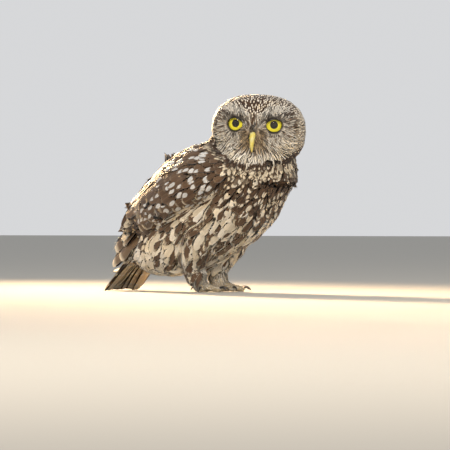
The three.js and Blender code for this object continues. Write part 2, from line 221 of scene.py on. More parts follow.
class NodeTree:
    """A shader or geometry tree that is filled node by node."""

    def __init__(self, tree: bpy.types.NodeTree) -> None:
        """Takes an empty tree."""
        self.tree = tree

    def add(self, kind: str, links: dict | None = None, **settings: object) -> bpy.types.Node:
        """Adds one node with its settings and links.

        Args:
            kind: the node's type name.
            links: socket name or number to a value, or to the output socket that feeds it.
            settings: the node's own properties.

        Returns:
            The node.
        """
        node = self.tree.nodes.new(kind)
        for name, value in settings.items():
            setattr(node, name, value)
        for key, value in (links or {}).items():
            socket = node.inputs[key]
            if isinstance(value, Socket):
                self.tree.links.new(value, socket)
            else:
                socket.default_value = value
        return node

    def math(self, operation: str, first: object, second: object = 0.0, clamp: bool = False) -> Socket:
        """A Math node's result for two values or sockets."""
        links = {0: first, 1: second}
        return self.add("ShaderNodeMath", links, operation=operation, use_clamp=clamp).outputs[0]

    def step(self, value: object, low: float, high: float) -> Socket:
        """A value stepped smoothly from 0 at low to 1 at high."""
        links = {"Value": value, "From Min": low, "From Max": high}
        return self.add("ShaderNodeMapRange", links, interpolation_type="SMOOTHSTEP").outputs[0]

    def blend(self, factor: object, first: object, second: object, kind: str = "MIX") -> Socket:
        """Two colours blended by a factor."""
        links = {0: factor, 6: first, 7: second}
        return self.add("ShaderNodeMix", links, data_type="RGBA", blend_type=kind).outputs[2]


def new_material(name: str) -> tuple[Material, NodeTree]:
    """An empty node material.

    Args:
        name: the material's name.

    Returns:
        The material and its tree.
    """
    material = bpy.data.materials.new(name)
    material.use_nodes = True
    material.node_tree.nodes.clear()
    return material, NodeTree(material.node_tree)


@dataclass(frozen=True)
class FeatherFinish:
    """Keratin vanes: matt, finely ribbed along the barbs, with light glowing through where they are thin.

    The vane's own map gives the place across and along it, and its attributes give the colours and marks.
    """

    name: str
    roughness: float = 0.72
    sheen: float = 0.25
    glow: float = 0.22
    ribs: float = 46.0
    relief: float = 0.35
    contrast: float = 0.55

    def make(self) -> Material:
        """Builds the material."""
        material, t = new_material(self.name)
        across, along = self.place_on_vane(t)
        off = t.math("ABSOLUTE", t.math("SUBTRACT", across, 0.5))
        shape = {n: self.attribute(t, n) for n in ("spot", "trace", "bars")}
        seed = shape["bars"][2]
        marks = self.marks(t, off, along, shape, seed)
        ground = t.add("ShaderNodeAttribute", attribute_name="ground").outputs["Color"]
        mark = t.add("ShaderNodeAttribute", attribute_name="mark").outputs["Color"]
        colour = t.blend(marks, ground, mark)
        rim = t.math("MAXIMUM", t.step(off, 0.36, 0.49), t.step(along, 0.86, 0.99))
        rim = t.math("MULTIPLY", rim, shape["trace"][2], True)
        colour = t.blend(rim, colour, (*Tone.CREAM.light, 1.0))
        barb, ridge = self.barbs(t, off, along, seed)
        colour = t.blend(self.contrast, colour, barb, "MULTIPLY")
        shaft = t.math("MULTIPLY", t.step(off, 0.035, 0.01), 0.22)
        colour = t.blend(shaft, colour, (*Tone.FAWN.light, 1.0))
        self.surface(t, colour, ridge)
        return material

    @staticmethod
    def place_on_vane(t: NodeTree) -> tuple[Socket, Socket]:
        """The place across and along the vane, each from 0 to 1."""
        spread = t.add("ShaderNodeUVMap", uv_map="Vane").outputs[0]
        parts = t.add("ShaderNodeSeparateXYZ", {0: spread}).outputs
        return parts[0], parts[1]

    @staticmethod
    def attribute(t: NodeTree, name: str) -> bpy.types.bpy_prop_collection:
        """The three numbers of one of the vane's attributes."""
        vector = t.add("ShaderNodeAttribute", attribute_name=name).outputs["Vector"]
        return t.add("ShaderNodeSeparateXYZ", {0: vector}).outputs

    def marks(self, t: NodeTree, off: Socket, along: Socket, shape: dict, seed: Socket) -> Socket:
        """Where the vane carries its marking: an oval spot or pair, a streak along the shaft, or bars.

        Args:
            t: the tree.
            off: the distance from the shaft, up to one half.
            along: the place along the vane.
            shape: the attributes that size the marks.
            seed: a number that differs from vane to vane.

        Returns:
            The marking's strength from 0 to 1.
        """
        ragged = t.add("ShaderNodeCombineXYZ", {0: off, 1: along, 2: seed}).outputs[0]
        noise = t.add("ShaderNodeTexNoise", {"Vector": ragged, "Scale": 7.0, "Detail": 2.0}).outputs[0]
        wander = t.math("MULTIPLY", t.math("SUBTRACT", noise, 0.5), 0.5)
        centre, aside, wide = shape["spot"]
        long, streak, _ = shape["trace"]
        x = t.math("DIVIDE", t.math("SUBTRACT", off, aside), wide)
        y = t.math("DIVIDE", t.math("SUBTRACT", along, centre), long)
        reach = t.math("SQRT", t.math("ADD", t.math("MULTIPLY", x, x), t.math("MULTIPLY", y, y)))
        spot = t.step(t.math("ADD", reach, wander), 1.12, 0.86)
        width = t.math("MULTIPLY", streak, t.math("ADD", 0.30, t.step(along, 0.15, 0.8)))
        swayed = t.math("ADD", off, t.math("MULTIPLY", wander, 0.12))
        line = t.step(t.math("SUBTRACT", swayed, width), 0.035, -0.035)
        line = t.math("MULTIPLY", line, t.step(streak, 0.0, 0.02))
        count, share = shape["bars"][0], shape["bars"][1]
        phase = t.math("ADD", t.math("MULTIPLY", along, count), t.math("MULTIPLY", wander, 0.4))
        wave = t.math("FRACT", phase)
        middle = t.math("ABSOLUTE", t.math("SUBTRACT", wave, 0.5))
        bar = t.step(t.math("SUBTRACT", middle, share), 0.06, -0.06)
        bar = t.math("MULTIPLY", bar, t.math("MULTIPLY", t.step(off, 0.05, 0.14), t.step(share, 0.0, 0.02)))
        return t.math("MAXIMUM", t.math("MAXIMUM", spot, line), bar, True)

    def barbs(self, t: NodeTree, off: Socket, along: Socket, seed: Socket) -> tuple[Socket, Socket]:
        """Fine lines that leave the shaft aslant.

        Args:
            t: the tree.
            off: the distance from the shaft, up to one half.
            along: the place along the vane.
            seed: a number that differs from vane to vane.

        Returns:
            A grey to multiply by, and a height.
        """
        slant = t.math("SUBTRACT", along, t.math("MULTIPLY", off, 0.55))
        ribs = t.math("MULTIPLY", slant, self.ribs)
        lines = t.add("ShaderNodeCombineXYZ", {0: ribs, 1: off, 2: seed}).outputs[0]
        noise = t.add("ShaderNodeTexNoise", {"Vector": lines, "Scale": 1.0, "Detail": 2.0}).outputs[0]
        links = {"Value": noise, "From Min": 0.3, "From Max": 0.7, "To Min": 0.62}
        return t.add("ShaderNodeMapRange", links).outputs[0], noise

    def surface(self, t: NodeTree, colour: Socket, ridge: Socket) -> None:
        """Matt vane with a share of light passing through."""
        links = {"Strength": self.relief, "Distance": 0.0004, "Height": ridge}
        bump = t.add("ShaderNodeBump", links).outputs[0]
        links = {"Base Color": colour, "Roughness": self.roughness, "Normal": bump}
        base = t.add("ShaderNodeBsdfPrincipled", links)
        base.inputs["Sheen Weight"].default_value = self.sheen
        base.inputs["Sheen Roughness"].default_value = 0.5
        base.inputs["Specular IOR Level"].default_value = 0.25
        through = t.add("ShaderNodeBsdfTranslucent", {"Color": colour}).outputs[0]
        mixed = t.add("ShaderNodeMixShader", {0: self.glow, 1: base.outputs[0], 2: through}).outputs[0]
        t.add("ShaderNodeOutputMaterial", {0: mixed})


def grid_faces(rows: int, columns: int) -> tuple[Array, Array]:
    """Faces of one closed vane whose points are rows of columns.

    Args:
        rows: rows of points, root to tip.
        columns: points in each row, from one rim to the other.

    Returns:
        The upper quads, and the quads of the underside, which joins the two rims.
    """
    r, c = np.meshgrid(np.arange(rows - 1), np.arange(columns - 1), indexing="ij")
    first = (r * columns + c).ravel()
    upper = np.stack([first + columns, first + columns + 1, first + 1, first], -1)
    row = np.arange(rows - 1) * columns
    last = columns - 1
    under = np.stack([row + columns + last, row + columns, row, row + last], -1)
    return upper, under


class MeshMaker:
    """Gathers quads and closing polygons with their maps, and makes one mesh object of them."""

    def __init__(self, name: str) -> None:
        """Takes the piece's name."""
        self.name = name
        self.points: list[Array] = []
        self.loops: list[Array] = []
        self.sizes: list[Array] = []
        self.normals: list[Array] = []
        self.maps: dict[str, list[Array]] = {"Vane": [], "OFBake": []}
        self.facts: dict[str, list[Array]] = {}
        self.count = self.latest = 0

    def add(
        self, points: Array, faces: Array, normals: Array, vane: Array, bake: Array, facts: dict
    ) -> None:
        """Adds faces that all have the same number of corners.

        Args:
            points: the new points, or none when the faces use points added just before.
            faces: corner numbers, counted from the first of the points of this lot.
            normals: a normal for each corner.
            vane: a place on the vane's map for each corner.
            bake: a place on the bake's map for each corner.
            facts: attribute name to a value for each new point.
        """
        base = self.count
        if len(points):
            self.points.append(points)
            self.count += len(points)
            for key, value in facts.items():
                self.facts.setdefault(key, []).append(value)
        else:
            base = self.count - self.latest
        self.latest = len(points) if len(points) else self.latest
        self.loops.append((faces + base).ravel())
        self.sizes.append(np.full(len(faces), faces.shape[1]))
        self.normals.append(normals.reshape(-1, 3))
        self.maps["Vane"].append(vane.reshape(-1, 2))
        self.maps["OFBake"].append(bake.reshape(-1, 2))

    def make(self, materials: Sequence[Material]) -> Piece:
        """Makes the object, in metres, with its maps, normals and attributes."""
        mesh = bpy.data.meshes.new(self.name)
        points = np.concatenate(self.points) * MM
        loops, sizes = np.concatenate(self.loops), np.concatenate(self.sizes)
        mesh.vertices.add(len(points))
        mesh.vertices.foreach_set("co", points.astype(np.float32).ravel())
        mesh.loops.add(len(loops))
        mesh.loops.foreach_set("vertex_index", loops.astype(np.int32))
        mesh.polygons.add(len(sizes))
        starts = np.concatenate([[0], np.cumsum(sizes)[:-1]])
        mesh.polygons.foreach_set("loop_start", starts.astype(np.int32))
        mesh.update(calc_edges=True)
        for name in ("Vane", "OFBake"):
            layer = mesh.uv_layers.new(name=name)
            layer.uv.foreach_set("vector", np.concatenate(self.maps[name]).astype(np.float32).ravel())
        for name, values in self.facts.items():
            layer = mesh.attributes.new(name, "FLOAT_VECTOR", "POINT")
            layer.data.foreach_set("vector", np.concatenate(values).astype(np.float32).ravel())
        layer = mesh.attributes.new("custom_normal", "FLOAT_VECTOR", "CORNER")
        layer.data.foreach_set("vector", np.concatenate(self.normals).astype(np.float32).ravel())
        for material in materials:
            mesh.materials.append(material)
        mesh.update()
        return new_object(self.name, mesh)


FLESH = (
    "head", "neck", "trunk", "wing_right", "wing_left", "tail_coverts", "tail",
    "thigh_right", "thigh_left", "shank_right", "shank_left", "foot_right", "foot_left",
)


class Region(Enum):
    """The parts of the skin that carry their own kind of feathers."""

    HEAD = 0
    NECK = 1
    TRUNK = 2
    WING = 3
    COVERTS = 4
    TAIL = 5
    THIGH = 6
    SHANK = 7
    FOOT = 8

    @classmethod
    def of(cls, node: str) -> "Region":
        """The region that a solid's node stands for."""
        key = {"tail_coverts": "COVERTS"}.get(node, node.split("_")[0].upper())
        return cls[key]


@dataclass
class Skin:
    """One closed skin under the plumage, made from the flesh solids and moved in by the coat's depth."""

    voxel: float = 1.25
    grow: float = 0.35
    smoothing: int = 6
    swell: dict[Region, float] = field(
        default_factory=lambda: {
            Region.HEAD: 0.5, Region.NECK: 2.0, Region.TRUNK: 2.0, Region.WING: 2.0, Region.COVERTS: 1.2,
            Region.TAIL: 0.0, Region.THIGH: 1.5, Region.SHANK: 0.3, Region.FOOT: 0.0,
        }
    )
    back_swell: float = 2.4
    depth: dict[Region, float] = field(
        default_factory=lambda: {
            Region.HEAD: 2.4, Region.NECK: 5.0, Region.TRUNK: 5.0, Region.WING: 1.3, Region.COVERTS: 2.2,
            Region.TAIL: 0.9, Region.THIGH: 3.2, Region.SHANK: 1.5, Region.FOOT: 0.6,
        }
    )

    points: Array = field(init=False, repr=False)
    triangles: Array = field(init=False, repr=False)
    edges: Array = field(init=False, repr=False)
    normals: Array = field(init=False, repr=False)
    share: Array = field(init=False, repr=False)
    coat: Array = field(init=False, repr=False)
    way: Array = field(init=False, repr=False)
    tree: BVHTree = field(init=False, repr=False)

    def build(self, nodes: dict[str, Piece]) -> None:
        """Makes the skin's points, triangles, regions and lie of the coat.

        Args:
            nodes: the frame's solids by name.
        """
        solids = self.gather(nodes)
        self.remesh(solids)
        self.regions(solids)
        self.sink()
        self.tree = BVHTree.FromPolygons(self.points.tolist(), self.triangles.tolist())
        self.lie()

    def gather(self, nodes: dict[str, Piece]) -> list[tuple[Region, Array, Array]]:
        """Merged copies of the flesh solids, each grown a little so that neighbours meet.

        Args:
            nodes: the frame's solids by name.

        Returns:
            For each solid its region, points in mm, and triangles.
        """
        solids = []
        for name in FLESH:
            form = bmesh.new()
            form.from_mesh(nodes[name].data)
            bmesh.ops.remove_doubles(form, verts=form.verts, dist=1e-6)
            bmesh.ops.triangulate(form, faces=form.faces)
            form.normal_update()
            form.verts.index_update()
            points = np.array([v.co / MM for v in form.verts])
            share = np.broadcast_to(np.eye(len(Region))[Region.of(name).value], (len(points), len(Region)))
            reach = self.grow + self.swelling(points, share)
            points += np.array([v.normal for v in form.verts]) * reach[:, None]
            if name == "tail_coverts":
                points = self.draw_in(points)
            triangles = np.array([[v.index for v in f.verts] for f in form.faces])
            solids.append((Region.of(name), points, triangles))
            form.free()
        return solids

    def swelling(self, points: Array, share: Array) -> Array:
        """How far the solids are swollen before they are joined, most on the back, so that folds close."""
        base = share @ np.array([self.swell[r] for r in Region])
        large = share[:, [Region.NECK.value, Region.TRUNK.value, Region.WING.value]].sum(-1)
        return base + self.back_swell * large * ease(48.0, 66.0, TRUNK.into(points)[:, 2])

    @staticmethod
    def draw_in(points: Array) -> Array:
        """Draws the thin ends of the tail coverts in, where separate feathers stand for them."""
        forward = FRAME_SHIFT[1] - points[:, 1]
        anchor = spot_at(-76.0, 0.0, 42.0)
        return points + (anchor - points) * (0.75 * ease(-76.0, -88.0, forward))[:, None]

    def remesh(self, solids: list[tuple[Region, Array, Array]]) -> None:
        """Joins the solids into one closed surface of even small faces and smooths it."""
        counts = np.cumsum([0] + [len(p) for _, p, _ in solids])
        points = np.concatenate([p for _, p, _ in solids]) * MM
        faces = np.concatenate([t + n for (_, _, t), n in zip(solids, counts)])
        mesh = bpy.data.meshes.new("skin_source")
        mesh.from_pydata(points.tolist(), [], faces.tolist())
        source = new_object("skin_source", mesh)
        remesh = source.modifiers.new("union", "REMESH")
        remesh.mode = "VOXEL"
        remesh.voxel_size = self.voxel * MM
        shell = evaluated_mesh(source)
        form = bmesh.new()
        form.from_mesh(shell)
        bmesh.ops.triangulate(form, faces=form.faces)
        form.verts.index_update()
        self.points = np.array([v.co for v in form.verts]) / MM
        self.triangles = np.array([[v.index for v in f.verts] for f in form.faces])
        self.edges = np.array([[v.index for v in e.verts] for e in form.edges])
        form.free()
        bpy.data.objects.remove(source)
        bpy.data.meshes.remove(mesh)
        bpy.data.meshes.remove(shell)
        for turn in range(self.smoothing):
            self.points += (self.spread(self.points, 1) - self.points) * (0.55 if turn % 2 == 0 else -0.35)
        self.normals = self.point_normals()

    def spread(self, values: Array, times: int) -> Array:
        """Values averaged with their neighbours on the skin.

        Args:
            values: a row for each point.
            times: how often.

        Returns:
            The averaged rows.
        """
        count = len(self.points)
        start = np.concatenate([self.edges[:, 0], self.edges[:, 1]])
        end = np.concatenate([self.edges[:, 1], self.edges[:, 0]])
        degree = np.maximum(np.bincount(start, minlength=count), 1)[:, None]
        for _ in range(times):
            totals = [np.bincount(start, values[end, k], count) for k in range(values.shape[1])]
            values = 0.5 * values + 0.5 * np.stack(totals, -1) / degree
        return values

    def point_normals(self) -> Array:
        """A smooth outward normal for each point."""
        a, b, c = (self.points[self.triangles[:, k]] for k in range(3))
        face = np.cross(b - a, c - a)
        total = np.zeros_like(self.points)
        for k in range(3):
            np.add.at(total, self.triangles[:, k], face)
        return unit(total)

    def regions(self, solids: list[tuple[Region, Array, Array]]) -> None:
        """Gives each point its share of each region, from the solid it lies nearest to."""
        counts = np.cumsum([0] + [len(p) for _, p, _ in solids])
        points = np.concatenate([p for _, p, _ in solids])
        faces = np.concatenate([t + n for (_, _, t), n in zip(solids, counts)])
        owner = np.concatenate([np.full(len(t), r.value) for r, _, t in solids])
        tree = BVHTree.FromPolygons(points.tolist(), faces.tolist())
        found = np.array([owner[tree.find_nearest(p)[2]] for p in self.points.tolist()])
        self.share = self.spread(np.eye(len(Region))[found], 3)

    def sink(self) -> None:
        """Moves the skin in by the coat's depth, and by less where the body is thin."""
        depth = self.share @ np.array([self.depth[r] for r in Region])
        local = HEAD.into(self.points)
        front = ease(6.0, 16.0, local[:, 0]) * ease(-26.0, -14.0, local[:, 2])
        front = front * self.share[:, Region.HEAD.value]
        depth = depth * (1.0 - 0.45 * front)
        back = ease(58.0, 76.0, TRUNK.into(self.points)[:, 2]) * self.share[:, Region.TRUNK.value]
        swelling = self.swelling(self.points, self.share)
        depth = depth * (1.0 - 0.5 * back) + swelling
        tree = BVHTree.FromPolygons(self.points.tolist(), self.triangles.tolist())
        inward = -self.normals
        starts = (self.points + inward * 0.05).tolist()
        room = np.full(len(self.points), 60.0)
        for n, (start, way) in enumerate(zip(starts, inward.tolist())):
            hit = tree.ray_cast(start, way, 60.0)
            if hit[0] is not None:
                room[n] = hit[3]
        depth = np.minimum(depth, room * 0.42)
        depth = self.spread(depth[:, None], 4)
        self.coat = np.maximum(depth[:, 0] - swelling, 0.3)
        self.points = self.points + inward * depth
        self.points += (self.spread(self.points, 1) - self.points) * 0.5
        self.normals = unit(self.spread(self.point_normals(), 2))

    def lie(self) -> None:
        """The way the feathers point at each place of the skin."""
        ways = np.zeros((len(Region), len(self.points), 3))
        pitch = math.radians(BODY_PITCH)
        ways[:] = place(-math.cos(pitch), 0.0, -math.sin(pitch))
        ways[Region.HEAD.value] = self.head_lie()
        side = np.sign(self.points[:, :1])
        ways[Region.WING.value] = unit(place(-1.0, 0.0, -0.50) + side * place(0.0, -0.16, 0.0))
        ways[Region.COVERTS.value] = unit(place(-0.70, 0.0, -0.72))
        ways[Region.TAIL.value] = unit(place(-0.69, 0.0, -0.72))
        ways[Region.THIGH.value] = unit(place(-0.28, 0.0, -1.0))
        ways[Region.SHANK.value] = unit(place(0.18, 0.0, -1.0))
        ways[Region.FOOT.value] = unit(place(1.0, 0.0, -0.15))
        ways[Region.NECK.value] = unit(place(-0.42, 0.0, -1.0))
        share = self.spread(self.share, 10)
        way = np.einsum("pr,rpk->pk", share, ways)
        way = way - self.normals * dot(way, self.normals)
        way = unit(self.spread(unit(way), 6))
        self.way = unit(way - self.normals * dot(way, self.normals))

    def head_lie(self) -> Array:
        """Feathers of the head run away from the bill, and round each eye they run out from it."""
        away = unit(self.points - BILL_ROOT)
        local = HEAD.into(self.points)
        back = ease(4.0, -22.0, local[:, 0])[:, None]
        down = unit(-HEAD.forward * 0.35 - HEAD.up)
        away = unit(away * (1.0 - back) + down * back)
        for side in (-1, 1):
            eye = eye_axes(side)
            rel = eye.into(self.points)
            reach = np.hypot(rel[:, 1], rel[:, 2])
            near = ease(17.0, 9.0, reach) * ease(-2.0, 3.0, rel[:, 0])
            near = near * ease(-9.0, -2.0, rel[:, 1] * side)
            out = unit(self.points - eye.origin)
            away = unit(away + (out - away) * near[:, None])
        return away

    def find(self, points: Array) -> tuple[Array, Array, Array, Array]:
        """The nearest places on the skin.

        Args:
            points: places in mm.

        Returns:
            The places on the skin, their smooth normals, the triangles hit and the weights of
            their corners.
        """
        hits = [self.tree.find_nearest(p) for p in points.tolist()]
        spots = np.array([h[0] for h in hits])
        index = np.array([h[2] for h in hits])
        corners = self.triangles[index]
        a, b, c = (self.points[corners[:, k]] for k in range(3))
        normal = np.cross(b - a, c - a)
        area = np.maximum(dot(normal, normal), 1e-12)
        wa = dot(np.cross(c - b, spots - b), normal) / area
        wb = dot(np.cross(a - c, spots - c), normal) / area
        weights = np.clip(np.concatenate([wa, wb, 1.0 - wa - wb], -1), 0.0, 1.0)
        weights /= weights.sum(-1, keepdims=True)
        smooth = unit((self.normals[corners] * weights[..., None]).sum(1))
        return spots, smooth, index, weights

    def value(self, rows: Array, index: Array, weights: Array) -> Array:
        """A value of the skin's points at places found on it."""
        return (rows[self.triangles[index]] * weights[..., None]).sum(1)

    def scatter(self, spacing: Callable[[Array], Array], where: Callable[..., Array], seed: int) -> "Roots":
        """Feather roots spread over part of the skin, no two closer than the spacing there.

        Args:
            spacing: the least distance between roots for points on the skin, in mm.
            where: true for points and shares of the regions that belong to the tract.
            seed: fixes the random draws.

        Returns:
            The roots.
        """
        rng = np.random.default_rng(seed)
        a, b, c = (self.points[self.triangles[:, k]] for k in range(3))
        middle = (a + b + c) / 3.0
        share = (self.share[self.triangles]).mean(1)
        inside = where(middle, share)
        area = 0.5 * np.linalg.norm(np.cross(b - a, c - a), axis=-1)
        gap = np.maximum(spacing(middle), 0.2)
        wanted = np.where(inside, area / gap**2, 0.0)
        total = int(wanted.sum() * 5.0) + 8
        index = rng.choice(len(wanted), total, p=wanted / wanted.sum())
        weights = rng.dirichlet((1.0, 1.0, 1.0), total)
        spots = (self.points[self.triangles[index]] * weights[..., None]).sum(1)
        gaps = gap[index]
        kept = self.thin(spots, gaps)
        return Roots(self, spots[kept], index[kept], weights[kept])

    @staticmethod
    def thin(spots: Array, gaps: Array) -> list[int]:
        """Keeps spots in order unless one kept before is nearer than its gap."""
        cell = float(gaps.max())
        boxes: dict[tuple[int, int, int], list[int]] = {}
        keys = np.floor(spots / cell).astype(int).tolist()
        kept: list[int] = []
        places = spots.tolist()
        for n, (spot, limit) in enumerate(zip(places, (gaps**2).tolist())):
            x, y, z = keys[n]
            around = product((x - 1, x, x + 1), (y - 1, y, y + 1), (z - 1, z, z + 1))
            near = (places[m] for box in around for m in boxes.get(box, ()))
            px, py, pz = spot
            if all((px - q[0]) ** 2 + (py - q[1]) ** 2 + (pz - q[2]) ** 2 >= limit for q in near):
                kept.append(n)
                boxes.setdefault((x, y, z), []).append(n)
        return kept


class Roots:
    """Places on the skin where feathers grow, with the normal, the lie and the coat's depth there."""

    def __init__(self, skin: Skin, spots: Array, index: Array, weights: Array) -> None:
        """Reads the skin's values at the places."""
        self.spots = spots
        self.normals = unit(skin.value(skin.normals, index, weights))
        self.ways = unit(skin.value(skin.way, index, weights))
        self.coat = skin.value(skin.coat[:, None], index, weights)[:, 0]
        self.share = skin.value(skin.share, index, weights)

    def __len__(self) -> int:
        """How many roots there are."""
        return len(self.spots)

    def pick(self, chosen: Array) -> "Roots":
        """The roots that a row of truths or numbers chooses."""
        picked = object.__new__(Roots)
        for name in ("spots", "normals", "ways", "coat", "share"):
            setattr(picked, name, getattr(self, name)[chosen])
        return picked

    @classmethod
    def at(cls, skin: Skin, points: Array, ways: Array | None = None) -> "Roots":
        """Roots at the nearest places of the skin to given points.

        Args:
            skin: the skin.
            points: places in mm.
            ways: directions that replace the skin's own lie.

        Returns:
            The roots.
        """
        spots, _, index, weights = skin.find(points)
        roots = cls(skin, spots, index, weights)
        if ways is not None:
            roots.ways = unit(ways - roots.normals * dot(ways, roots.normals))
        return roots


@dataclass
class Cut:
    """The shape of a lot of vanes: sizes in mm for each, and the outline they share."""

    length: Array
    width: Array
    lift: Array
    rise: Array | float = 0.15
    arch: float = 0.14
    rows: int = 7
    columns: int = 5
    root_width: float = 0.35
    widest: float = 0.58
    tip: float = 0.16
    ragged: float = 0.0
    softness: float = 0.55
    sway: float = 8.0
    follow: float = 0.35
    fringe: int = 0

    def outline(self, along: Array) -> Array:
        """Half width of the vane at places along it, as a share of its widest."""
        opened = np.sin(np.clip(along / self.widest, 0, 1) * math.pi / 2)
        early = self.root_width + (1.0 - self.root_width) * opened
        late = np.clip((along - self.widest) / (1.0 - self.widest), 0, 1)
        return early * (self.tip + (1.0 - self.tip) * np.sqrt(np.maximum(1.0 - late**2.2, 0.0)))


@dataclass
class Look:
    """Colours and marks of a lot of vanes, a row for each."""

    ground: Array
    mark: Array
    spot: Array
    trace: Array
    bars: Array

    @classmethod
    def plain(cls, count: int, ground: Array, mark: Array | None = None) -> "Look":
        """A look with no marks yet."""
        ground = np.broadcast_to(ground, (count, 3)).copy()
        mark = ground.copy() if mark is None else np.broadcast_to(mark, (count, 3)).copy()
        spot = np.tile([0.7, 0.0, 0.001], (count, 1))
        trace = np.tile([0.001, 0.0, 0.0], (count, 1))
        bars = np.zeros((count, 3))
        return cls(ground, mark, spot, trace, bars)

    def vary(self, rng: np.random.Generator, amount: float) -> None:
        """Makes each vane a little lighter or darker and gives it its own seed."""
        count = len(self.ground)
        factor = np.exp(rng.normal(0.0, amount, (count, 1)))
        self.ground *= factor
        self.mark *= np.exp(rng.normal(0.0, amount * 0.5, (count, 1)))
        self.bars[:, 2] = rng.uniform(0.0, 60.0, count)


def bake_cells(spots: Array, axes: Axes, size: float) -> tuple[Array, float]:
    """A patch of the bake's map for each root, at its place on an unwrap of the skin round the axes.

    Args:
        spots: root places in mm.
        axes: the axes that the skin is unwrapped round.
        size: the patch's widest size on the map.

    Returns:
        The middle of each patch, and the patch's size.
    """
    local = axes.into(spots)
    around = np.arctan2(local[:, 1], local[:, 2])
    count = len(spots)
    side = int(math.ceil(math.sqrt(count)))
    cells = np.zeros((count, 2))
    order = np.argsort(local[:, 0], kind="stable")
    for row in range(side):
        members = order[row * side : (row + 1) * side]
        members = members[np.argsort(around[members], kind="stable")]
        cells[members, 0] = (np.arange(len(members)) + 0.5) / side
        cells[members, 1] = (row + 0.5) / side
    return 0.01 + cells * 0.98, min(size, 0.8 / side)


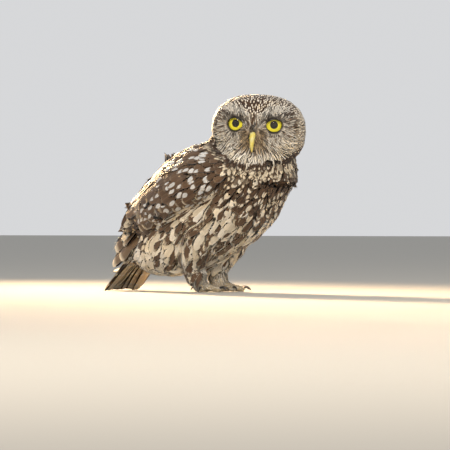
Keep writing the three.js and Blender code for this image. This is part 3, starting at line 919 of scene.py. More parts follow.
class Coat:
    """Lays vanes on the skin and gathers them into one piece."""

    def __init__(self, name: str, skin: Skin, axes: Axes, patch: float = 0.006) -> None:
        """Takes the piece's name, the skin, the axes of its unwrap and the size of a patch on it."""
        self.name, self.skin, self.axes, self.patch = name, skin, axes, patch
        self.lots: list[tuple] = []

    def lay(self, roots: Roots, cut: Cut, look: Look, seed: int) -> None:
        """Shapes a lot of vanes over the skin.

        Args:
            roots: where they grow.
            cut: their sizes and outline.
            look: their colours.
            seed: fixes the random draws.
        """
        rng = np.random.default_rng(seed)
        count, rows = len(roots), cut.rows
        spots, normals = [roots.spots], [roots.normals]
        swing = np.radians(rng.normal(0.0, cut.sway, (count, 1)))
        way = roots.ways
        side = unit(np.cross(roots.normals, way))
        way = unit(way * np.cos(swing) + side * np.sin(swing))
        ways = [way]
        step = (cut.length / (rows - 1))[:, None]
        for _ in range(rows - 1):
            ahead = spots[-1] + way * step
            spot, normal, index, weights = self.skin.find(ahead)
            lie = self.skin.value(self.skin.way, index, weights)
            gap = np.linalg.norm(spot - ahead, axis=-1)[:, None]
            free = (dot(normal, normals[-1]) < 0.3) | (gap > step * 0.8)
            free &= dot(ahead - spot, normal) > 0.0
            spot, normal = np.where(free, ahead, spot), np.where(free, normals[-1], normal)
            lie = np.where(free, way, lie)
            way = way + (lie - way) * (cut.follow / rows)
            way = unit(way - normal * dot(way, normal))
            spots.append(spot)
            normals.append(normal)
            ways.append(way)
        self.vanes(roots.spots, cut, look, spots, normals, ways, rng)

    def lay_free(self, paths: Array, up: Array, cut: Cut, look: Look, seed: int) -> None:
        """Shapes vanes along given paths, clear of the skin.

        Args:
            paths: for each vane its middle line, root to tip, with the cut's number of rows.
            up: for each vane the direction that its outer face looks in.
            cut: their sizes and outline.
            look: their colours.
            seed: fixes the random draws.
        """
        ways = unit(np.gradient(paths, axis=1))
        normals = up[:, None] - ways * dot(up[:, None], ways)
        lines = [list(np.ascontiguousarray(np.moveaxis(v, 1, 0))) for v in (paths, unit(normals), ways)]
        rng = np.random.default_rng(seed)
        self.vanes(paths[:, 0], cut, look, *lines, rng, conform=False)

    def vanes(
        self, origins: Array, cut: Cut, look: Look, spots: list[Array], normals: list[Array],
        ways: list[Array], rng: np.random.Generator, conform: bool = True,
    ) -> None:
        """Gives vanes their width, arch and lift along their middle lines.

        Args:
            origins: the vanes' roots.
            cut: their sizes and outline.
            look: their colours.
            spots: their middle lines, row by row.
            normals: the outward directions there.
            ways: the directions towards the tips there.
            rng: the random draws.
            conform: true where the rims follow the skin.
        """
        count, rows = len(origins), cut.rows
        along = np.linspace(0.0, 1.0, rows)
        half = cut.outline(along)
        across = np.linspace(-1.0, 1.0, cut.columns)
        tilt = rng.normal(0.0, 0.05, count)
        nudge = rng.uniform(-1.0, 1.0, (count, cut.columns)) * cut.ragged
        points = np.zeros((count, rows, cut.columns, 3))
        shading = np.zeros_like(points)
        for r in range(rows):
            middle, normal, way = spots[r], normals[r], ways[r]
            side = unit(np.cross(normal, way))
            reach = (cut.width * 0.5 * half[r])[:, None]
            left, left_normal = middle - side * reach, normal
            right, right_normal = middle + side * reach, normal
            if conform:
                left, left_normal = self.beside(middle, normal, -side * reach)
                right, right_normal = self.beside(middle, normal, side * reach)
            lift = cut.lift * (cut.rise + (1.0 - cut.rise) * along[r] ** 0.75)
            slope = cut.lift * (1.0 - cut.rise) / cut.length
            for c, u in enumerate(across):
                low, mid, high = u * (u - 1) / 2, 1 - u * u, u * (u + 1) / 2
                base = left * low + middle * mid + right * high
                up = unit(left_normal * low + normal * mid + right_normal * high)
                height = lift - cut.arch * cut.width * half[r] * u * u + tilt * cut.width * u * half[r]
                shift = way * (nudge[:, c : c + 1] * cut.length[:, None] * along[r] ** 4)
                points[:, r, c] = base + up * height[:, None] + shift
                lean = side * (2.0 * cut.arch * u * 2.0) - way * slope[:, None]
                shading[:, r, c] = unit(up + lean * cut.softness)
        self.lots.append((origins, look, points, shading))
        if cut.fringe:
            self.fringe(origins, cut, look, points, shading, rng)

    def fringe(
        self, origins: Array, cut: Cut, look: Look, points: Array, shading: Array, rng: np.random.Generator
    ) -> None:
        """Loose barbs that stand out of each vane's rim towards its tip.

        Args:
            origins: the vanes' roots.
            cut: the vanes' sizes.
            look: the vanes' colours.
            points: the vanes' points, by vane, row and column.
            shading: the normals there.
            rng: the random draws.
        """
        count, rows, columns = points.shape[:3]
        number = count * cut.fringe
        owner = np.repeat(np.arange(count), cut.fringe)
        side = rng.choice((-1.0, 1.0), number)
        along = rng.uniform(0.45, 1.0, number) ** 0.8
        across = np.where(along > 0.9, rng.uniform(0.0, 1.0, number), rng.uniform(0.75, 1.0, number))
        r = np.minimum((along * (rows - 1)).astype(int), rows - 2)
        part = (along * (rows - 1) - r)[:, None]
        c = (columns - 1) * (0.5 + 0.5 * across * side)
        c0 = np.minimum(c.astype(int), columns - 2)
        cp = (c - c0)[:, None]

        def at(grid: Array) -> Array:
            """A grid's values at the roots of the barbs."""
            low = grid[owner, r, c0] * (1 - cp) + grid[owner, r, c0 + 1] * cp
            high = grid[owner, r + 1, c0] * (1 - cp) + grid[owner, r + 1, c0 + 1] * cp
            return low * (1 - part) + high * part

        start, up = at(points), unit(at(shading))
        middle = columns // 2
        way = unit(points[owner, r + 1, middle] - points[owner, r, middle])
        out = unit(points[owner, r, -1] - points[owner, r, 0]) * side[:, None]
        lean = np.radians(rng.uniform(12.0, 38.0, number) * across)[:, None]
        heading = unit(way * np.cos(lean) + out * np.sin(lean) + up * rng.normal(0.02, 0.05, (number, 1)))
        length = cut.length[owner] * rng.uniform(0.10, 0.20, number)
        width = np.minimum(cut.width[owner] * 0.085, 0.75)
        steps = np.linspace(0.0, 1.0, 3)
        barbs = np.zeros((number, 3, 3, 3))
        aside = unit(np.cross(up, heading))
        for n, s in enumerate(steps):
            spine = start + heading * (length * s)[:, None] - way * (0.3 * length)[:, None] + up * 0.03
            spine = spine - up * (length * 0.10 * s * s)[:, None]
            half = (width * 0.5 * (1.0, 0.8, 0.16)[n])[:, None]
            barbs[:, n, 0] = spine - aside * half - up * 0.05
            barbs[:, n, 1] = spine + up * 0.04
            barbs[:, n, 2] = spine + aside * half - up * 0.05
        normals = np.broadcast_to(up[:, None, None], barbs.shape).copy()
        hues = Look.plain(number, look.ground[owner])
        rim = look.trace[owner, 2] * 0.8
        hues.ground = mixed(hues.ground, Tone.CREAM.light, rim)
        hues.vary(rng, 0.10)
        self.lots.append((origins[owner], hues, barbs, normals))

    def beside(self, middle: Array, normal: Array, offset: Array) -> tuple[Array, Array]:
        """The skin beside a vane's middle line, or thin air where the skin turns away there."""
        flat = middle + offset
        spot, other = self.skin.find(flat)[:2]
        width = np.linalg.norm(offset, axis=-1)[:, None]
        gap = np.linalg.norm(spot - flat, axis=-1)[:, None]
        free = (dot(other, normal) < 0.25) | (gap > width * 0.9 + 0.3)
        free &= dot(flat - spot, other) > 0.0
        return np.where(free, flat, spot), np.where(free, normal, other)

    def make(self, materials: Sequence[Material], node_slot: str) -> Piece:
        """Makes the piece of all lots laid so far.

        Args:
            materials: its finish.
            node_slot: the record's material slot; not used.

        Returns:
            The object, riding on the body.
        """
        maker = MeshMaker(self.name)
        centres, size = bake_cells(np.concatenate([lot[0] for lot in self.lots]), self.axes, self.patch)
        first = 0
        for _, look, points, shading in self.lots:
            count = len(points)
            self.pour(maker, look, points, shading, centres[first : first + count], size)
            first += count
        made = maker.make(materials)
        finish_piece(made)
        return made

    @staticmethod
    def pour(
        maker: MeshMaker, look: Look, points: Array, shading: Array, centres: Array, size: float
    ) -> None:
        """Adds one lot's faces to the mesh.

        Args:
            maker: the mesh that takes them.
            look: the vanes' colours.
            points: the vanes' points, by vane, row and column.
            shading: the normals there.
            centres: the middle of each vane's patch on the bake's map.
            size: the patches' size.
        """
        count, rows, columns = points.shape[:3]
        per = rows * columns
        upper, under = grid_faces(rows, columns)
        grid_v, grid_u = np.meshgrid(np.linspace(0, 1, rows), np.linspace(0, 1, columns), indexing="ij")
        vane = np.stack([grid_u.ravel(), grid_v.ravel()], -1)
        offsets = (np.arange(count) * per)[:, None, None]
        facts = {n: np.repeat(getattr(look, n), per, 0) for n in MARKINGS}
        flat_points, flat_shading = points.reshape(-1, 3), shading.reshape(-1, 3)
        ends = np.stack([np.arange(columns), np.arange(columns)[::-1] + (rows - 1) * columns])
        for number, (faces, sign) in enumerate(((upper, 1.0), (under, -1.0), (ends, 1.0))):
            all_faces = (offsets + faces[None]).reshape(-1, faces.shape[1])
            flat = all_faces.ravel()
            corner = vane[flat % per]
            bake = np.repeat(centres, faces.size, 0) + (corner - 0.5) * size
            new = flat_points if number == 0 else flat_points[:0]
            maker.add(new, all_faces, flat_shading[flat] * sign, corner, bake, facts if number == 0 else {})


def finish_piece(made: Piece, replaced: Sequence[str] = ()) -> None:
    """Sets a piece riding on the body and the solids it stands for, and reports it."""
    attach(made, BODY)
    if replaced:
        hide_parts(*replaced)
    triangles = sum(len(p.vertices) - 2 for p in made.data.polygons)
    LOG.info("%s: %d triangles", made.name, triangles)


def mixed(first: Array, second: Array, share: Array) -> Array:
    """Colours blended row by row."""
    return first + (second - first) * share[:, None]


HEAD_END = [Region.HEAD.value, Region.NECK.value, Region.TRUNK.value]


@dataclass
class CrownCoat:
    """Crown, nape and sides of the head: small dark feathers, each with a cream drop near its tip."""

    gap: float = 2.0
    seed: int = 11

    def build(self, skin: Skin, finish: Material) -> Piece:
        """Lays the feathers and returns the piece."""
        head = Region.HEAD.value

        def spacing(points: Array) -> Array:
            """Closer on the forehead than on the nape."""
            local = HEAD.into(points)
            return self.gap * (0.72 + 0.75 * ease(8.0, -24.0, local[:, 0]))

        def where(points: Array, share: Array) -> Array:
            """The head outside the face."""
            return (share[:, head] > 0.35) & ~is_face(points)

        roots = skin.scatter(spacing, where, self.seed)
        rng = np.random.default_rng(self.seed)
        count = len(roots)
        local = HEAD.into(roots.spots)
        back = ease(10.0, -20.0, local[:, 0])
        length = 5.4 + 6.5 * back + rng.uniform(-0.4, 0.4, count)
        lift = np.minimum(roots.coat, 2.6) * 0.8
        cut = Cut(length, length * 0.50, lift, rise=0.5, rows=6, sway=8.0, arch=0.1, fringe=4)
        look = Look.plain(count, Tone.UMBER.light, Tone.WHITE.light)
        look.ground = mixed(look.ground, Tone.BROWN.light, rng.uniform(0.0, 0.7, count))
        look.mark = mixed(look.mark, Tone.CREAM.light, rng.uniform(0.0, 1.0, count))
        look.spot[:, 0] = rng.uniform(0.76, 0.84, count)
        look.spot[:, 2] = rng.uniform(0.17, 0.26, count) + 0.04 * back
        look.trace[:, 0] = rng.uniform(0.16, 0.26, count)
        plain = rng.uniform(0, 1, count) < 0.12
        look.spot[plain, 2] = 0.001
        side = ease(26.0, 32.0, np.abs(local[:, 1])) * ease(-2.0, 4.0, local[:, 0])
        look.ground = mixed(look.ground, Tone.CREAM.light, side * 0.4)
        look = throat_look(look, local, rng)
        look.vary(rng, 0.12)
        coat = Coat("plumage_crown", skin, HEAD)
        coat.lay(roots, cut, look, self.seed + 1)
        return coat.make([finish], "face_and_crown_feathers")


def disc_reach(local: Array) -> Array:
    """How far out of the facial disc a place is: below 1 inside the dark line under the cheeks."""
    return np.hypot(local[:, 1] / DISC_HALF_WIDTH, (local[:, 2] + 2.0) / DISC_HALF_HEIGHT)


def throat_look(look: Look, local: Array, rng: np.random.Generator) -> Look:
    """Adds the dark broken line under the cheeks and the pale band of the throat below it.

    Args:
        look: the looks of the feathers.
        local: their places in the head's axes.
        rng: the random draws.

    Returns:
        The looks with both bands.
    """
    reach = disc_reach(local) + rng.normal(0.0, 0.012, len(local))
    below = ease(-4.0, -10.0, local[:, 2]) * ease(-8.0, 0.0, local[:, 0])
    centre = ease(16.0, 6.0, np.abs(local[:, 1]))
    line = ease(0.97, 1.00, reach) * ease(1.08, 1.04, reach) * below * (1.0 - 0.5 * centre)
    pale = ease(1.04, 1.09, reach) * ease(1.36, 1.22, reach) * below * 0.9
    look.ground = mixed(look.ground, Tone.CREAM.light, pale)
    look.mark = mixed(look.mark, Tone.CREAM.light, pale)
    flecked = (pale > 0.5) & (rng.uniform(0, 1, len(local)) < 0.42)
    look.ground[flecked] = Tone.BROWN.light
    look.ground = mixed(look.ground, Tone.UMBER.light, line)
    look.mark = mixed(look.mark, Tone.BROWN.light, line * (rng.uniform(0, 1, len(local)) < 0.75))
    return look


def brow_line(aside: Array) -> Array:
    """Height in the head of the middle of the white brow, at a distance from the middle."""
    return 7.2 + 0.66 * np.minimum(aside, 10.0) + 0.26 * np.maximum(aside - 10.0, 0.0)


def is_face(points: Array) -> Array:
    """True for places on the front of the head, from the brows down to the white of the cheeks."""
    local = HEAD.into(points)
    aside, up = np.abs(local[:, 1]), local[:, 2]
    below_brow = up < brow_line(aside) + 2.1 - 3.0 * ease(4.5, 2.5, aside)
    return (local[:, 0] > 2.0) & below_brow & (disc_reach(local) < 0.99) & (aside < 31.0)


@dataclass
class FaceCoat:
    """The facial disc: fine narrow feathers that run out from the bill and round the eyes."""

    gap: float = 1.15
    seed: int = 21

    def build(self, skin: Skin, finish: Material) -> Piece:
        """Lays the feathers and returns the piece."""

        def from_eyes(points: Array) -> Array:
            """The distance from the nearer eye's axis, in mm."""
            reach = [np.hypot(*eye_axes(side).into(points)[:, 1:].T) for side in (-1, 1)]
            return np.minimum(*reach)

        def spacing(points: Array) -> Array:
            """Closest round the eyes."""
            return self.gap * (0.75 + 0.75 * ease(9.0, 20.0, from_eyes(points)))

        def where(points: Array, share: Array) -> Array:
            """The face, clear of the eyes."""
            return (share[:, HEAD_END].sum(-1) > 0.3) & is_face(points) & (from_eyes(points) > 7.0)

        roots = skin.scatter(spacing, where, self.seed)
        rng = np.random.default_rng(self.seed)
        count = len(roots)
        reach = from_eyes(roots.spots)
        length = 3.0 + 4.6 * ease(9.0, 22.0, reach) + rng.uniform(-0.4, 0.6, count)
        local = HEAD.into(roots.spots)
        shade = ease(3.0, 1.2, np.abs(local[:, 2] - brow_line(np.abs(local[:, 1]))))
        length *= 1.0 + 0.4 * shade
        lift = np.minimum(roots.coat, 1.6) * 0.8 + 1.0 * shade
        width = 0.9 + 1.3 * ease(10.0, 22.0, reach)
        cut = Cut(length, width, lift, rows=5, columns=3, tip=0.1, sway=10.0, rise=0.3)
        look = Look.plain(count, self.tones(roots.spots, rng), Tone.GREY.light)
        look.vary(rng, 0.10)
        coat = Coat("plumage_face", skin, HEAD)
        coat.lay(roots, cut, look, self.seed + 1)
        return coat.make([finish], "face_and_crown_feathers")

    @staticmethod
    def tones(spots: Array, rng: np.random.Generator) -> Array:
        """The colour of each feather of the face, from its place in the head.

        Args:
            spots: the feathers' places in mm.
            rng: the random draws.

        Returns:
            A linear colour for each.
        """
        local = HEAD.into(spots)
        aside, up = np.abs(local[:, 1]), local[:, 2]
        count = len(aside)
        streak, other = rng.uniform(0.0, 1.0, (2, count))
        pale = mixed(Tone.CREAM.light, Tone.WHITE.light, other)
        tone = mixed(linear("#CBC3B5"), Tone.WHITE.light, other)
        tone = mixed(tone, Tone.EARTH.light, (streak > 0.80) * 0.75)
        mottled = ease(21.0, 27.0, aside) * ease(-8.0, -3.0, up)
        tone = mixed(tone, Tone.EARTH.light, mottled * (streak > 0.52) * 0.85)
        buff = ease(11.0, 6.0, aside) * ease(3.0, -1.0, up) * ease(-15.0, -10.0, up)
        warm = mixed(linear("#B7A283"), Tone.EARTH.light, (streak > 0.72) * 0.9)
        tone = mixed(tone, warm, buff)
        cheek = ease(0.58, 0.70, disc_reach(local) + rng.normal(0, 0.03, count)) * ease(-1.0, -6.0, up)
        tone = mixed(tone, pale, cheek)
        wide = 1.5 + 0.6 * ease(3.0, 14.0, aside)
        brow = ease(1.35, 0.95, np.abs(up - brow_line(aside)) / wide) * ease(1.0, 3.0, aside)
        under = ease(2.0, 0.9, np.abs(up - brow_line(aside) + wide + 1.9)) * ease(7.0, 9.0, aside)
        tone = mixed(tone, Tone.UMBER.light, under * (streak > 0.15) * 0.9)
        # The brows' own white, raised 8% above the plumage white as painted light so that they read as
        # sky-lit.
        tone = mixed(tone, Tone.WHITE.light * 1.08, brow)
        lore = ease(4.2, 2.2, aside) * ease(-4.0, -1.0, up) * ease(5.0, 2.0, up)
        tone = mixed(tone, Tone.SOOT.light, lore * 0.85)
        between = ease(7.0, 4.0, aside) * ease(2.0, 4.5, up)
        tone = mixed(tone, mixed(pale * 0.8, Tone.EARTH.light, (streak > 0.5) * 1.0), between * (1 - brow))
        for side in (-1, 1):
            rel = eye_axes(side).into(spots)
            ring = ease(8.0, 7.4, np.hypot(rel[:, 1], rel[:, 2])) * ease(0.0, 3.0, rel[:, 0])
            corner = ease(11.5, 8.5, np.hypot(rel[:, 1] + side * 1.5, rel[:, 2] - 1.0))
            corner = corner * ease(1.0, -4.0, rel[:, 1] * side)
            corner = corner * ease(-3.0, 2.0, rel[:, 2]) * (streak > 0.25)
            tone = mixed(tone, Tone.SOOT.light, np.maximum(ring, corner * 0.8) * 0.85)
        return tone


def flank_look(count: int, dark_share: Array, rng: np.random.Generator) -> Look:
    """Cream feathers with a fine streak, and among them dark ones with a cream edge.

    Args:
        count: how many.
        dark_share: the share of dark feathers at each place.
        rng: the random draws.

    Returns:
        Their looks.
    """
    pale = mixed(Tone.CREAM.light, Tone.WHITE.light, rng.uniform(0, 1, count))
    brown = mixed(Tone.BROWN.light, Tone.EARTH.light, rng.uniform(0, 0.8, count))
    dark = rng.uniform(0, 1, count) < dark_share
    look = Look.plain(count, np.where(dark[:, None], brown, pale), np.where(dark[:, None], pale, brown))
    streaked = (rng.uniform(0, 1, count) < 0.22) & (dark_share > 0.04)
    look.trace[:, 1] = np.where(streaked & ~dark, rng.uniform(0.10, 0.22, count), 0.0)
    look.trace[:, 2] = np.where(dark, rng.uniform(0.5, 0.9, count), 0.0)
    return look


@dataclass
class BodyCoat:
    """Neck, breast, belly, flanks and back: soft overlapping feathers, cream with dark streaks below."""

    gap: float = 4.2
    seed: int = 31

    def build(self, skin: Skin, finish: Material) -> list[Piece]:
        """Lays the feathers in four pieces, breast and flank on each side, and returns them."""

        def spacing(points: Array) -> Array:
            """Closer towards the head, and closest round the face."""
            local = TRUNK.into(points)
            near = ease(1.75, 1.05, disc_reach(HEAD.into(points)))
            return self.gap * (0.66 + 0.36 * ease(108.0, 66.0, local[:, 0])) * (1.0 - 0.50 * near)

        def where(points: Array, share: Array) -> Array:
            """Neck, trunk and the upper part of the thighs."""
            flesh = share[:, [Region.NECK.value, Region.TRUNK.value]].sum(-1)
            thigh = share[:, Region.THIGH.value] * (points[:, 2] > 21.0)
            return (flesh + thigh > 0.4) & ~is_face(points)

        roots = skin.scatter(spacing, where, self.seed)
        upper = TRUNK.into(roots.spots)[:, 0] > 68.0
        left = roots.spots[:, 0] > 0.0
        made = []
        tracts = {
            "breast_left": upper & left, "breast_right": upper & ~left,
            "flank_left": ~upper & left, "flank_right": ~upper & ~left,
        }
        for name, chosen in tracts.items():
            lot = roots.pick(chosen)
            rng = np.random.default_rng(self.seed + len(made))
            count = len(lot)
            length = spacing(lot.spots) * 4.2 * rng.uniform(0.92, 1.10, count)
            lift = np.clip(lot.coat, 1.0, 5.2) * 0.85
            look = self.looks(lot, rng)
            streak = look.trace[:, 2] > 0.4
            length *= 1.0 + 0.15 * streak
            lift += 0.35 * streak
            cut = Cut(
                length, length * (0.44 - 0.21 * streak), lift, rise=0.62, rows=7, ragged=0.08,
                arch=0.07, sway=8.0, softness=0.3, fringe=10,
            )
            look.vary(rng, 0.09)
            coat = Coat(f"plumage_{name}", skin, TRUNK)
            coat.lay(lot, cut, look, self.seed + 1)
            made.append(coat.make([finish], "body_feathers"))
        return made

    @staticmethod
    def looks(roots: Roots, rng: np.random.Generator) -> Look:
        """Colours and marks from the place on the body."""
        count = len(roots)
        local = TRUNK.into(roots.spots)
        along, up = local[:, 0], local[:, 2]
        front = ease(70.0, 54.0, up)
        upper = ease(72.0, 92.0, along + rng.normal(0, 7.0, count))
        spotted = np.maximum(upper, 1.0 - front) > 0.5
        share = 0.24 * ease(-14.0, 14.0, along)
        look = flank_look(count, share, rng)
        pale = mixed(Tone.CREAM.light, Tone.WHITE.light, rng.uniform(0, 0.6, count))
        brown = mixed(Tone.UMBER.light, Tone.EARTH.light, rng.uniform(0.2, 0.8, count))
        rows = spotted[:, None]
        look.ground = np.where(rows, brown, look.ground)
        look.mark = np.where(rows, pale, look.mark)
        marked = spotted & (rng.uniform(0, 1, count) < 0.60)
        look.spot[:, 0] = rng.uniform(0.72, 0.86, count)
        look.spot[:, 1] = np.where(rng.uniform(0, 1, count) < 0.3, rng.uniform(0.15, 0.3, count), 0.0)
        look.spot[:, 2] = np.where(marked, rng.uniform(0.14, 0.40, count), 0.001)
        look.trace[:, 0] = np.where(marked, rng.uniform(0.12, 0.30, count), 0.001)
        look.trace[:, 1] = np.where(spotted, 0.0, look.trace[:, 1])
        look.trace[:, 2] = np.where(spotted, 0.15, look.trace[:, 2])
        return throat_look(look, HEAD.into(roots.spots), rng)


@dataclass
class LegCoat:
    """Thighs and shanks: short dense white feathers, down to bristly tufts on the toes."""

    seed: int = 51

    def build(self, skin: Skin, finish: Material) -> Piece:
        """Lays the feathers and returns the piece."""
        thigh, shank, foot = Region.THIGH.value, Region.SHANK.value, Region.FOOT.value

        def spacing(points: Array) -> Array:
            """Wider apart up the leg."""
            return 1.35 + 1.6 * ease(16.0, 34.0, points[:, 2])

        def where(points: Array, share: Array) -> Array:
            """The leg below the body's feathers, clear of the soles."""
            leg = share[:, [thigh, shank, foot]].sum(-1) > 0.4
            return leg & (points[:, 2] < 25.0) & ((share[:, foot] < 0.5) | (points[:, 2] > 3.4))

        roots = skin.scatter(spacing, where, self.seed)
        rng = np.random.default_rng(self.seed)
        count = len(roots)
        high = ease(14.0, 34.0, roots.spots[:, 2])
        length = 4.4 + 9.0 * high + rng.uniform(-0.4, 0.4, count)
        length *= 1.0 - 0.45 * roots.share[:, foot]
        lift = np.clip(roots.coat, 0.4, 3.0) * 0.9
        cut = Cut(
            length, 1.3 + 4.5 * high, lift, rise=0.35, rows=5, columns=3, tip=0.12, sway=9.0, softness=0.4
        )
        look = Look.plain(count, Tone.WHITE.light)
        look.ground = mixed(look.ground, Tone.CREAM.light, rng.uniform(0, 0.7, count))
        look.vary(rng, 0.05)
        coat = Coat("plumage_legs", skin, TRUNK)
        coat.lay(roots, cut, look, self.seed + 1)
        return coat.make([finish], "leg_feathers")


def smooth_path(knots: Sequence[Sequence[float]], at: Array) -> Array:
    """Points on a smooth curve through knots, evenly spaced from 0 to 1 by knot number.

    Args:
        knots: the points that the curve passes through.
        at: where on the curve, from 0 to 1.

    Returns:
        A row for each place.
    """
    knots = np.array(knots, float)
    padded = np.concatenate([[2 * knots[0] - knots[1]], knots, [2 * knots[-1] - knots[-2]]])
    whole = np.clip(np.asarray(at, float), 0.0, 1.0) * (len(knots) - 1)
    first = np.minimum(whole.astype(int), len(knots) - 2)
    t = (whole - first)[..., None]
    a, b, c, d = (padded[first + k] for k in range(4))
    return 0.5 * (2 * b + (c - a) * t + (2 * a - 5 * b + 4 * c - d) * t**2 + (3 * b - a - 3 * c + d) * t**3)


@dataclass
class Wing:
    """One folded wing: its outer surface, flight feathers and coverts.

    The edges are knots of forward, outward and up, in mm, from the shoulder to the tip.
    """

    side: int
    upper: tuple = (
        (40, 18, 106), (12, 19, 118), (-18, 20, 113), (-46, 19, 94.3), (-71, 17, 73.7), (-92, 13.5, 51),
    )
    middle: tuple = (
        (50, 34, 94), (24, 43, 98), (-7, 44.5, 90), (-38, 37, 75), (-66, 25, 61), (-92, 15, 46),
    )
    lower: tuple = (
        (46, 33, 84), (24, 42, 76), (-4, 42, 65), (-34, 34, 56), (-62, 23, 50), (-89, 14, 44),
    )
    seed: int = 41

    def surface(self, along: Array, down: Array) -> Array:
        """Points of the outer surface, from shoulder to tip and from the upper edge to the lower."""
        top, mid, low = (smooth_path(k, along) for k in (self.upper, self.middle, self.lower))
        v = np.asarray(down, float)[..., None]
        flat = top * (2 * v - 1) * (v - 1) + mid * 4 * v * (1 - v) + low * v * (2 * v - 1)
        flat = flat * np.array([1.0, self.side, 1.0])
        return np.stack([flat[..., 1], -flat[..., 0], flat[..., 2]], -1) + FRAME_SHIFT

    def row(self, skin: Skin, start: Array, end: Array) -> tuple[Roots, Array]:
        """Roots and lengths of feathers that run from one place on the wing to another."""
        root, tip = self.surface(start[:, 0], start[:, 1]), self.surface(end[:, 0], end[:, 1])
        return Roots.at(skin, root, unit(tip - root)), np.linalg.norm(tip - root, axis=-1)

    def build(self, skin: Skin, finish: Material) -> list[Piece]:
        """Lays flight feathers and coverts and returns the pieces."""
        name = "left" if self.side > 0 else "right"
        flight = Coat(f"flight_feathers_{name}", skin, TRUNK, 0.03)
        self.primaries(skin, flight)
        self.secondaries(skin, flight)
        coverts = Coat(f"plumage_coverts_{name}", skin, TRUNK, 0.012)
        self.coverts(skin, coverts)
        return [coat.make([finish], "wing_feathers") for coat in (flight, coverts)]

    def primaries(self, skin: Skin, coat: Coat) -> None:
        """The long feathers of the wing's tip, each a little shorter than the one beneath it."""
        rng = np.random.default_rng(self.seed)
        n = 9
        k = np.arange(n) / (n - 1)
        start = np.stack([np.full(n, 0.40), 0.97 - 0.55 * k], -1)
        end = np.stack([1.0 - 0.20 * k, 0.93 - 0.62 * k], -1)
        roots, length = self.row(skin, start, end)
        cut = Cut(
            length, np.full(n, 11.0), 0.7 + 1.6 * k, rise=0.5, rows=12, widest=0.35, tip=0.25,
            sway=0.0, follow=0.0, arch=0.05, softness=1.0,
        )
        look = Look.plain(n, Tone.UMBER.light * 0.75, Tone.BUFF.light)
        look.bars[:, :2] = (8.0, 0.08)
        look.trace[:, 2] = 0.9
        look.vary(rng, 0.06)
        coat.lay(roots, cut, look, self.seed)

    def secondaries(self, skin: Skin, coat: Coat) -> None:
        """The feathers along the lower edge behind the coverts, their tips in a slanting line."""
        rng = np.random.default_rng(self.seed + 1)
        n = 9
        k = np.arange(n) / (n - 1)
        start = np.stack([np.full(n, 0.30), 0.98 - 0.50 * k], -1)
        end = np.stack([0.76 - 0.02 * k, 1.0 - 0.55 * k], -1)
        start[0], end[0] = (0.16, 1.03), (0.80, 1.04)
        roots, length = self.row(skin, start, end)
        cut = Cut(length, np.full(n, 13.0), 1.6 + 1.4 * k, rise=0.5, rows=10, widest=0.5, tip=0.4, sway=0.0,
                  follow=0.0, arch=0.05, softness=1.0)
        look = Look.plain(n, Tone.BROWN.light, Tone.BUFF.light)
        look.bars[:, :2] = (5.0, 0.07)
        look.trace[:, 2] = 0.35
        look.ground[0] = Tone.CREAM.light
        look.vary(rng, 0.06)
        coat.lay(roots, cut, look, self.seed + 1)

    def coverts(self, skin: Skin, coat: Coat) -> None:
        """The coverts and scapulars: brown, most with a large pale oval, growing larger to the rear."""

        def where_on_wing(points: Array) -> tuple[Array, Array]:
            """The places along and down the wing that lie nearest to the points."""
            at, down = np.meshgrid(np.linspace(0, 1, 60), np.linspace(0, 1, 24), indexing="ij")
            known = self.surface(at.ravel(), down.ravel())
            far = (points**2).sum(-1)[:, None] - 2 * points @ known.T + (known**2).sum(-1)[None]
            best = far.argmin(-1)
            return at.ravel()[best], down.ravel()[best]

        def spacing(points: Array) -> Array:
            """Wider apart towards the rear."""
            forward = -(points[:, 1] - FRAME_SHIFT[1])
            return 3.1 + 3.4 * ease(45.0, -20.0, forward)

        def where(points: Array, share: Array) -> Array:
            """This side's wing, ahead of the flight feathers."""
            at, down = where_on_wing(points)
            covered = (at < 0.66) | ((down < 0.4) & (at < 0.76))
            return (share[:, Region.WING.value] > 0.3) & (points[:, 0] * self.side > 0.0) & covered

        roots = skin.scatter(spacing, where, self.seed + self.side)
        roots = roots.pick(roots.normals[:, 0] * self.side > 0.05)
        rng = np.random.default_rng(self.seed + self.side + 5)
        count = len(roots)
        at, down = where_on_wing(roots.spots)
        length = spacing(roots.spots) * 3.3 * rng.uniform(0.95, 1.05, count)
        lift = np.clip(roots.coat, 0.8, 1.6) * 1.3 + 0.9
        cut = Cut(
            length, length * 0.62, lift, rise=0.4, rows=7, tip=0.3, sway=5.0, softness=0.6, arch=0.09,
            fringe=6,
        )
        # The spots are their white with painted shade: a cool grey-white, dimmed further by 0.84.
        look = Look.plain(count, Tone.BROWN.light, Tone.SHADED_SPOT_WHITE.light * 0.84)
        look.ground = mixed(look.ground, Tone.EARTH.light, rng.uniform(0, 0.7, count))
        marked = rng.uniform(0, 1, count) < 0.28 + 0.5 * ease(0.1, 0.35, at)
        look.spot[:, 0] = rng.uniform(0.70, 0.80, count)
        look.spot[:, 1] = np.where(rng.uniform(0, 1, count) < 0.2, 0.22, 0.0)
        look.spot[:, 2] = np.where(marked, rng.uniform(1.3, 2.1, count) / cut.width, 0.001)
        look.trace[:, 0] = np.where(marked, rng.uniform(2.6, 4.0, count) / length, 0.001)
        look.trace[:, 2] = 0.12 + 0.88 * ease(0.82, 0.95, down)
        look.vary(rng, 0.08)
        coat.lay(roots, cut, look, self.seed + 1)


